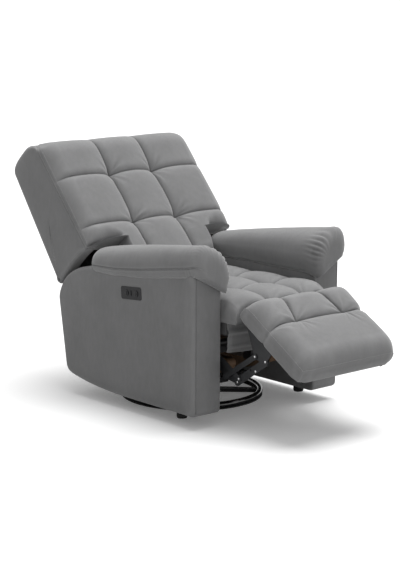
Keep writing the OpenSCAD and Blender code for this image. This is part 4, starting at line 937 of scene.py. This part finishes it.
class RECLINER_OT_arm_pads(bpy.types.Operator):
    """Rolled arm pads, gathered at their drooping fronts"""
    bl_idname = "recliner.arm_pads"
    bl_label = "Arm pads"

    def execute(self, context):
        ends = 1 - np.cos(np.linspace(0, np.pi / 2, 26))
        y = np.concatenate([PAD_FRONT + 0.066 * ends, np.linspace(PAD_FRONT + 0.069, PAD_REAR - 0.064, 110),
                            (PAD_REAR - 0.060 * ends)[::-1], [ARM_FRONT - 0.0026, ARM_FRONT - 0.0016]])
        y = np.sort(y)
        u = np.sort(np.concatenate([np.linspace(0, 1, 80), np.linspace(0.90, 0.99, 14)]))
        yy, uu = np.meshgrid(y, u, indexing="ij")
        x, z = pad_point(uu, yy)
        # Gathers: pleats that run back from the front droop and fade along the pad
        reach = np.exp(-((yy - PAD_FRONT - 0.020) / 0.048) ** 2) * (1 - 0.72 * smooth((uu - 0.40) / 0.20))
        fold = (0.5 - np.abs(np.sin(np.pi * (uu * 17 + 0.7 * np.sin(7 * uu) + 3.0 * (yy - PAD_FRONT))))) * reach
        fold = fold * np.sin(np.pi * np.clip(uu, 0, 0.9) / 0.9) ** 0.4
        swell = 0.0052 * fold + 0.0042 * soft_noise(uu * 0.4, yy, 53, low=2.0, high=12.0)
        # Sewn line above the outer edge, and the band's own creases below it at the front
        swell = swell - 0.0030 * np.exp(-((uu - PAD_SEAM) / 0.0085) ** 2)
        band = smooth((uu - 0.962) / 0.01) * np.exp(-((yy + 0.430) / 0.06) ** 2)
        swell = swell + 0.0014 * band * np.sin(2 * np.pi * (yy * 38 + 0.5 * np.sin(yy * 90) + 2.5 * uu))
        out = np.stack([x - PAD_MID, z - 0.575], -1)
        out /= np.linalg.norm(out, axis=-1, keepdims=True)
        x, z = x + out[..., 0] * swell, z + out[..., 1] * swell
        # The underside sits on the arm's top edge and closes ahead of the arm
        under = np.array([0.03, 0.06, 0.09, 0.12, 0.2, 0.3, 0.4, 0.5, 0.6, 0.7, 0.77, 0.8, 0.83, 0.86, 0.9, 0.95])
        x_under = x[:, -1:] + (x[:, :1] - x[:, -1:]) * under
        z_under = z[:, -1:] + (z[:, :1] - z[:, -1:]) * under
        on_arm = (y[:, None] > ARM_FRONT - 0.002) & (x_under < 0.3812) & (x_under > 0.2450)
        z_under = np.where(on_arm, np.maximum(z_under, arm_top(y)[:, None] + 0.0010), z_under)
        ceiling = z[:, 30:31] - 0.004
        z_under = np.minimum(z_under, np.maximum(ceiling, z_under * 0 + z[:, :1]))
        x, z = np.concatenate([x, x_under], 1), np.concatenate([z, z_under], 1)
        yy = np.repeat(y[:, None], x.shape[1], 1)
        loop = np.stack([x, yy, z], -1)
        first = np.broadcast_to(loop[0].mean(0), loop[0].shape)[None]
        last = np.broadcast_to(loop[-1].mean(0), loop[-1].shape)[None]
        loop = np.concatenate([first, loop, last])
        for side, label in ((-1, "right"), (1, "left")):
            grid = loop * np.array([side, 1, 1])
            padded("arm_pad_rolled_" + label, [(grid, True)], "chassis", ["arm_pad_" + label])
            y_line = np.linspace(PAD_FRONT + 0.006, PAD_REAR - 0.006, 160)
            lx, lz = pad_point(np.full_like(y_line, PAD_SEAM), y_line)
            line = np.stack([side * (lx - 0.0012), y_line, lz], -1)
            stitches("arm_pad_topstitch_" + label, [line], "chassis")
        return {"FINISHED"}


REAR_LOW, REAR_TOP = 0.214, 0.154
COVER_HALF, COVER_TOP, COVER_THICK = 0.3190, 0.7595, 0.018
FOLD_HALF, FOLD_FRONT = 0.2430, 0.0270


def back_rear(s):
    """Rearward depth of the back's rear face: a straight line from the wings' lower edge to the top."""
    return REAR_LOW + (REAR_TOP - REAR_LOW) * (s - WING_LOW) / (BACK_TOP - WING_LOW)


def wing_outline():
    """Side view of the back, as (rearward depth, height up the back)."""
    front, low, top = -0.047, WING_LOW, BACK_TOP
    r = 0.040
    turn = np.linspace(0, np.pi / 2, 12)
    arc = np.stack([front + TOP_ROUND * (1 - np.sin(turn)), top - TOP_ROUND * (1 - np.cos(turn))], 1)
    return np.concatenate([
        bend((front, low), (0.060, low + 0.024), (back_rear(low) - r / 6, low - r / 6), 16),
        bend((back_rear(top - r), top - r), (back_rear(top), top), (back_rear(top) - 2 * r, top), 8),
        arc,
    ])


def shell(name, outer, inner, node):
    """Padded sheet between an outer and an inner grid of points, closed round its edge."""
    padded(name, enclosed(outer, inner, boxing(outer, inner, 4, 0.0)), "back", [node] if node else [])


class RECLINER_OT_back_shell(bpy.types.Operator):
    """Side wings, rear cover and top cover of the back"""
    bl_idname = "recliner.back_shell"
    bl_label = "Back shell"

    def execute(self, context):
        outline = even_outline(wing_outline(), 240)
        for side, label in ((-1, "right"), (1, "left")):
            edge_radius = 0.005 + 0.013 * smooth((outline[:, :1] + 0.044) / 0.040)
            flat, x = panel_grid(outline, BACK_HALF, 0.320, edge_radius, 0.004, 0.0030, 61 + side)
            grid = back_place(side * x, -flat[..., 0], flat[..., 1])
            padded("back_wing_panel_" + label, [(grid, True)], "back", ["back_wing_" + label])
        # Rear cover, swollen in its middle and sunk at its seams
        x = np.linspace(-COVER_HALF, COVER_HALF, 90)
        s = np.concatenate([[WING_LOW], np.linspace(WING_LOW + 0.004, 0.756, 60), [COVER_TOP]])
        xx, ss = np.meshgrid(x, s)
        edge = np.minimum(COVER_HALF - np.abs(xx), np.minimum(ss - WING_LOW, COVER_TOP - ss))
        uneven = 0.0020 * soft_noise(xx, ss, 71, low=1.5, high=6)
        lift = 0.004 * smooth(edge / 0.05) - 0.003 * (1 - smooth(edge / 0.006)) + uneven
        outer = back_place(xx, -(back_rear(ss) + lift), ss)
        inner = back_place(xx, -(back_rear(ss) - COVER_THICK), ss)
        shell("back_rear_panel", outer, inner, "back_cover_rear")
        # Fold between the arms that closes the back from below
        x_fold, depth = np.meshgrid(np.linspace(-FOLD_HALF, FOLD_HALF, 60),
                                    np.linspace(FOLD_FRONT, back_rear(WING_LOW) - 0.0185, 24))
        sag = 0.003 * np.sin(np.pi * (depth - FOLD_FRONT) / 0.17) * np.cos(x_fold / FOLD_HALF * np.pi / 2)
        shell("back_under_fold", back_place(x_fold, -depth, WING_LOW + 0.0005 + sag),
              back_place(x_fold, -depth, WING_LOW + 0.016), None)
        # Top cover: it meets the front cushion part of the way round the top edge
        turn = np.linspace(math.radians(52.6), np.pi / 2, 11)
        lead = np.stack([0.020 - TOP_ROUND * np.cos(turn), BACK_TOP - TOP_ROUND * (1 - np.sin(turn))], 1)
        rear_d, fold_d = back_rear(BACK_TOP), back_rear(0.760)
        tail_d = rear_d - 0.080
        flat_d = np.linspace(0.026, tail_d - 0.004, 12)
        top_line = np.concatenate([lead, np.stack([flat_d, np.full(12, BACK_TOP)], 1),
                                   bend((tail_d, BACK_TOP), (rear_d, BACK_TOP), (fold_d, 0.7605), 14)])
        low_lead = np.stack([lead[:, 0], np.where(lead[:, 0] < -0.0243, 0.7842, 0.7826)], 1)
        low_line = np.concatenate([low_lead, np.stack([flat_d, np.full(12, 0.7826)], 1),
                                   bend((tail_d, 0.782), (rear_d - COVER_THICK, 0.782),
                                        (fold_d - COVER_THICK, 0.7605), 14)])
        xx = np.repeat(x[None], len(top_line), 0)
        run = np.repeat(top_line[:, 1:], 90, 1) + top_line[:, :1]
        puff = 0.002 * soft_noise(xx, run, 73) + 0.0025 * np.sin(np.pi * np.linspace(0, 1, len(top_line)))[:, None]
        outer = back_place(xx, -top_line[:, :1], top_line[:, 1:] + puff)
        inner = back_place(xx, -low_line[:, :1], low_line[:, 1:])
        shell("back_top_panel", outer, inner, "back_cover_top")
        lines = []
        arc = bend((-0.038, WING_LOW + 0.0075), (0.060, WING_LOW + 0.0315), (0.200, WING_LOW + 0.0060), 60)
        for side in (-1, 1):
            lines.append(back_place(np.full(60, side * 0.3770), -arc[:, 0], arc[:, 1]))
        stitches("back_wing_topstitch", lines, "back")
        return {"FINISHED"}


CLOTH_HALF, CLOTH_TOP, CLOTH_LOW, CLOTH_CUT = 0.2190, 0.399, 0.270, 0.134


class RECLINER_OT_front_cloth(bpy.types.Operator):
    """Cloth under the seat's front, with soft folds across it"""
    bl_idname = "recliner.front_cloth"
    bl_label = "Front cloth"

    def execute(self, context):
        uu, vv = np.meshgrid(np.linspace(-1, 1, 130), np.linspace(0, 1, 80))
        z = CLOTH_LOW + 0.010 * uu ** 2 * (1 - vv) ** 2 + (CLOTH_TOP - CLOTH_LOW) * vv
        # One deep fold across the middle, a shallow one under it, and slight pulls from the sides
        deep = 0.0075 * np.exp(-((vv - 0.62 - 0.05 * uu ** 2) / 0.085) ** 2)
        fold = deep + 0.0035 * np.exp(-((vv - 0.22 - 0.06 * uu) / 0.07) ** 2)
        uneven = 0.0035 * soft_noise(uu * 0.22, vv * 0.13, 91, low=3.0, high=18.0)
        y = -0.4512 - 0.006 * np.sin(np.pi * vv) - fold - uneven
        y = y + 0.002 * smooth((np.abs(uu) - 0.93) / 0.07)
        front = np.stack([uu * CLOTH_HALF, y, z], -1)
        rear = np.stack([uu * CLOTH_HALF, y + 0.0035, z], -1)
        cloth = piece("front_cloth_hung", enclosed(front, rear, boxing(front, rear, 3, 0.0)),
                      "chassis", "cloth", ["front_cloth"])
        return {"FINISHED"}


# Metal, ply and plastic

CAD_FINISHES = {
    "ring_paint": ["ring_tube"],
    "rubber": ["floor_strip", "arm_feet"],
    "link_paint": ["star_base", "turn_plate", "crossbar_front", "crossbar_rear", "rocker_rail_left",
                   "rocker_rail_right", "cross_tube_front", "cross_tube_rear", "side_plate_left",
                   "side_plate_right", "arm_brackets", "torque_tube", "front_links", "guide_links",
                   "carrier_links", "control_links", "foot_brackets", "back_brackets"],
    "zinc": ["lower_race", "upper_race", "king_pin", "bearing_balls", "rocker_springs", "seat_wires", "back_wires",
             "drive_track"],
    "ply": ["rocker_cam_left", "rocker_cam_right", "back_stiles", "back_rail_top", "back_rail_middle",
            "back_rail_low"],
    # The seat rails take the darker copy of the suede: painted shade under the seat
    "cloth_painted_shade": ["seat_rail_left", "seat_rail_right", "seat_rail_front", "seat_rail_rear"],
    "dust_cloth": ["foot_board"],
    "plastic": ["drive_motor", "drive_block", "power_inlet"],
    "switch": ["switch_plate"],
    "button": ["button_open", "button_close"],
}


class RECLINER_OT_carcass(bpy.types.Operator):
    """Finishes of the frame, the mechanism and the switch"""
    bl_idname = "recliner.carcass"
    bl_label = "Frame and mechanism"

    def execute(self, context):
        for finish, nodes in CAD_FINISHES.items():
            for node in nodes:
                thing = frame["nodes"][node]
                for slot in thing.material_slots:
                    slot.material = finish_of(finish)
        return {"FINISHED"}


def rivet(x, y, z, radius, height, side):
    """Domed rivet head facing sideways: an arc turned about its axis."""
    turn = np.linspace(0, 2 * np.pi, 20, endpoint=False)
    arc = np.linspace(0, np.pi / 2, 6)
    r, h = radius * np.cos(arc), height * np.sin(arc)
    r, h = np.concatenate([[0, radius], r]), np.concatenate([[0, 0], h])
    return np.stack([
        np.repeat((side * (x + h))[:, None], 20, 1),
        y + r[:, None] * np.cos(turn), z + r[:, None] * np.sin(turn)], -1), True


# Outer face and pivot of each pair of links, as (x, y, z) on the left
RIVETS = {
    "carrier_link": (0.2304, -0.6177, 0.2405),
    "footrest": (0.2335, -0.672, 0.287),
    "front_link": (0.2290, -0.518, 0.181),
    "guide_link": (0.2349, -0.531, 0.197),
    "control_link": (0.2394, -0.622, 0.299),
}
RIVET_RADIUS, RIVET_HEIGHT, RIVET_GAP = 0.0052, 0.0022, 0.0001


class RECLINER_OT_rivets(bpy.types.Operator):
    """Bright rivet heads on the footrest links"""
    bl_idname = "recliner.rivets"
    bl_label = "Rivets"

    def execute(self, context):
        for body, (x, y, z) in RIVETS.items():
            grids = [rivet(x + RIVET_GAP, y, z, RIVET_RADIUS, RIVET_HEIGHT, side) for side in (-1, 1)]
            piece("rivets_" + body, grids, body, "rivet")
        return {"FINISHED"}


BUMPER_X, BUMPER_ALONG = 0.205, 0.356


class RECLINER_OT_foot_bumpers(bpy.types.Operator):
    """Two rubber bumpers under the footrest's front edge"""
    bl_idname = "recliner.foot_bumpers"
    bl_label = "Footrest bumpers"

    def execute(self, context):
        turn = np.linspace(0, 2 * np.pi, 28, endpoint=False)
        radius = np.array([0, 0.0090, 0.0090, 0.0088, 0.0080, 0.0060, 0])
        height = np.array([-0.0005, -0.0005, -0.0080, -0.0120, -0.0145, -0.0160, -0.0165])
        grids = []
        for side in (-1, 1):
            x = side * BUMPER_X + radius[:, None] * np.cos(turn)
            along = BUMPER_ALONG + radius[:, None] * np.sin(turn)
            grids.append((foot_place(x, along, np.repeat(height[:, None], 28, 1)), True))
        piece("footrest_bumpers", grids, "footrest", "rubber")
        return {"FINISHED"}


# Curvature limits, blur passes, gain and limits of the painted shade and light on the cloth
CURVE_LIMITS = (-220, 90)
PAINTED_SHADE_BLURS = 7
PAINTED_SHADE_GAIN = 0.020
PAINTED_SHADE_LIMITS = (-0.34, 0.20)


def painted_shade_of(mesh):
    """Painted shade at each vertex: mean curvature from the edges, blurred, as painted light on crests and painted
    shade in seams.

    curvature = sum(-2 n . d) / sum(d . d) over a vertex's edges d, with n its normal."""
    count = len(mesh.vertices)
    place, normal = np.empty(count * 3), np.empty(count * 3)
    ends = np.empty(len(mesh.edges) * 2, dtype=np.int64)
    mesh.vertices.foreach_get("co", place)
    mesh.vertex_normals.foreach_get("vector", normal)
    mesh.edges.foreach_get("vertices", ends)
    place, normal, (one, two) = place.reshape(-1, 3), normal.reshape(-1, 3), ends.reshape(-1, 2).T
    step = place[two] - place[one]
    total = lambda at_one, at_two: np.bincount(one, at_one, count) + np.bincount(two, at_two, count)
    bend_of = total(-2 * (normal[one] * step).sum(1), 2 * (normal[two] * step).sum(1))
    length = (step ** 2).sum(1)
    value = np.clip(bend_of / np.maximum(total(length, length), 1e-9), *CURVE_LIMITS)
    edges_at = np.maximum(total(np.ones(len(one)), np.ones(len(one))), 1)
    for _ in range(PAINTED_SHADE_BLURS):
        value = (value + total(value[two], value[one]) / edges_at) / 2
    return np.clip(value * PAINTED_SHADE_GAIN, *PAINTED_SHADE_LIMITS)


class RECLINER_OT_painted_shade(bpy.types.Operator):
    """Painted light on crests and painted shade in seams, on every cloth piece"""
    bl_idname = "recliner.nap"
    bl_label = "Painted crest and seam shade"

    def execute(self, context):
        cloth = finish_of("cloth")
        for thing in context.scene.objects:
            if thing.type == "MESH" and thing.material_slots and thing.material_slots[0].material == cloth:
                layer = thing.data.attributes.new("nap", "FLOAT", "POINT")
                layer.data.foreach_set("value", painted_shade_of(thing.data))
        return {"FINISHED"}


# The switch plate's slope and its middle, as (y, z), and each round mark: how far along the plate, and its radius
SWITCH_SLOPE = math.radians(4.7)
SWITCH_AT = (-0.082, 0.475)
SWITCH_MARKS = {"close_key": (-0.0310, 0.0075), "open_key": (0.0245, 0.0085)}
MARK_RADIUS = 0.0012


def on_plate(x, along, up):
    """From the switch plate's own frame (forwards, upwards) to the chair's: a turn by its slope."""
    y = SWITCH_AT[0] - along * math.cos(SWITCH_SLOPE) + up * math.sin(SWITCH_SLOPE)
    z = SWITCH_AT[1] + along * math.sin(SWITCH_SLOPE) + up * math.cos(SWITCH_SLOPE)
    return np.stack(np.broadcast_arrays(x, y, z), -1)


class RECLINER_OT_switch_marks(bpy.types.Operator):
    """Moulded marks on the two buttons and the bar between them"""
    bl_idname = "recliner.switch_marks"
    bl_label = "Switch marks"

    def execute(self, context):
        turn = np.linspace(-1.0, 1.0, 16)
        for body, (centre, radius) in SWITCH_MARKS.items():
            path = on_plate(-0.3872, centre + radius * np.cos(turn), radius * np.sin(turn))
            piece("button_mark_" + body, [tube(path, MARK_RADIUS, 6)], body, "mark")
        bar = on_plate(-0.3858, 0.0, np.linspace(-0.011, 0.011, 8))
        piece("switch_bar", [tube(bar, MARK_RADIUS, 8)], "chassis", "mark")
        return {"FINISHED"}


# Each lamp: its strength, how wide its light is in degrees, and the way it shines
LAMPS = {
    "top_lamp": (2.65, 44.0, (-0.24, -0.08, -0.95)),
    "front_lamp": (0.26, 70.0, (-0.10, 0.85, -0.35)),
}
FILL_LIGHT = 0.45
FLOOR_GREY, FLOOR_SEEN, FLOOR_GLOW = 0.46, 0.95, 0.13
FLOOR_HALF = 60.0
# The camera: its place, its angles in radians, and its focal length in pixels of a picture so many pixels high
CAMERA_PLACE = (-4.3785, -4.9951, 1.7306)
CAMERA_YAW, CAMERA_PITCH, CAMERA_ROLL = 0.7244, -0.1909, 0.0041
CAMERA_FOCUS, PICTURE_HEIGHT, SENSOR = 1678.46, 570, 36.0


class RECLINER_OT_studio(bpy.types.Operator):
    """Pale floor, a wide soft lamp from above, a weak one from the front, white surroundings and the camera"""
    bl_idname = "recliner.studio"
    bl_label = "Studio"

    def execute(self, context):
        scene = context.scene
        scene.view_settings.view_transform = "Standard"
        mesh = bpy.data.meshes.new("studio_floor")
        corners = [(-FLOOR_HALF, -FLOOR_HALF, 0), (FLOOR_HALF, -FLOOR_HALF, 0),
                   (FLOOR_HALF, FLOOR_HALF, 0), (-FLOOR_HALF, FLOOR_HALF, 0)]
        mesh.from_pydata(corners, [], [(0, 1, 2, 3)])
        floor = bpy.data.objects.new("studio_floor", mesh)
        scene.collection.objects.link(floor)
        finish = Finish("studio_floor")
        seen = finish.add("ShaderNodeLightPath")["Is Camera Ray"]
        finish.set(Base_Color=finish.blend(seen, (FLOOR_GREY,) * 3, (FLOOR_SEEN,) * 3), Roughness=0.9,
                   Specular_IOR_Level=0.0, Emission_Color=finish.blend(seen, (0, 0, 0), (FLOOR_GLOW,) * 3),
                   Emission_Strength=1.0)
        mesh.materials.append(finish.material)
        world = bpy.data.worlds.new("studio")
        scene.world = world
        world.use_nodes = True
        sky = Nodes(world.node_tree)
        sky.tree.nodes.clear()
        ray = sky.add("ShaderNodeLightPath")
        shown = ray["Is Camera Ray"].most(ray["Is Glossy Ray"]).most(ray["Is Transmission Ray"])
        fill = sky.add("ShaderNodeBackground", Color=(1, 1, 1, 1), Strength=FILL_LIGHT)["Background"]
        white = sky.add("ShaderNodeBackground", Color=(1, 1, 1, 1), Strength=1.0)["Background"]
        mixed = sky.add("ShaderNodeMixShader", i0=shown, i1=fill, i2=white)["Shader"]
        sky.add("ShaderNodeOutputWorld", Surface=mixed)
        for name, (energy, width, way) in LAMPS.items():
            sun = bpy.data.lights.new(name, "SUN")
            sun.energy = energy
            sun.angle = math.radians(width)
            lamp = bpy.data.objects.new(name, sun)
            scene.collection.objects.link(lamp)
            lamp.matrix_world = facing(way, (0.0, 0.0, 3.0))
        way = (math.sin(CAMERA_YAW) * math.cos(CAMERA_PITCH), math.cos(CAMERA_YAW) * math.cos(CAMERA_PITCH),
               math.sin(CAMERA_PITCH))
        camera = bpy.data.objects.new("camera", bpy.data.cameras.new("camera"))
        camera.data.sensor_width = SENSOR
        camera.data.lens = CAMERA_FOCUS / PICTURE_HEIGHT * SENSOR
        camera.data.clip_end = 200
        camera.matrix_world = facing(way, CAMERA_PLACE, CAMERA_ROLL)
        scene.collection.objects.link(camera)
        scene.camera = camera
        return {"FINISHED"}


def facing(way, place, roll=0.0):
    """Matrix of a lamp or camera at a place, looking along a direction, turned about it by roll."""
    way = np.array(way, float) / np.linalg.norm(way)
    side = np.cross(way, (0, 0, 1.0))
    side /= np.linalg.norm(side)
    up = np.cross(side, way)
    side, up = math.cos(roll) * side + math.sin(roll) * up, -math.sin(roll) * side + math.cos(roll) * up
    return Matrix([[side[k], up[k], -way[k], place[k]] for k in range(3)] + [[0, 0, 0, 1]])


class RECLINER_PT_dressing(bpy.types.Panel):
    """Lists the pieces in the sidebar"""
    bl_idname = "RECLINER_PT_dressing"
    bl_label = "Recliner"
    bl_space_type = "VIEW_3D"
    bl_region_type = "UI"
    bl_category = "Recliner"

    def draw(self, context):
        for group in (context.scene.chair_sizes, context.scene.chair_colours):
            for key in group.__annotations__:
                self.layout.prop(group, key)
        for step in STEPS:
            self.layout.operator(step.bl_idname)


STEPS = (
    RECLINER_OT_studio, RECLINER_OT_carcass, RECLINER_OT_back_cushion, RECLINER_OT_seat_cushion,
    RECLINER_OT_foot_cushion, RECLINER_OT_arm_panels, RECLINER_OT_arm_pads, RECLINER_OT_back_shell,
    RECLINER_OT_front_cloth, RECLINER_OT_rivets, RECLINER_OT_foot_bumpers, RECLINER_OT_painted_shade,
    RECLINER_OT_switch_marks,
)
CLASSES = (ChairSizes, ChairColours) + STEPS + (RECLINER_PT_dressing,)


def register():
    """Registers the classes and puts the two groups on the scene."""
    for each in CLASSES:
        bpy.utils.register_class(each)
    bpy.types.Scene.chair_sizes = bpy.props.PointerProperty(type=ChairSizes)
    bpy.types.Scene.chair_colours = bpy.props.PointerProperty(type=ChairColours)


def unregister():
    """Takes the groups and the classes away again."""
    del bpy.types.Scene.chair_colours
    del bpy.types.Scene.chair_sizes
    for each in reversed(CLASSES):
        bpy.utils.unregister_class(each)


def main():
    """Runs each step in order."""
    register()
    for step in STEPS:
        group, name = step.bl_idname.split(".")
        getattr(getattr(bpy.ops, group), name)()


if __name__ == "__main__":
    main()
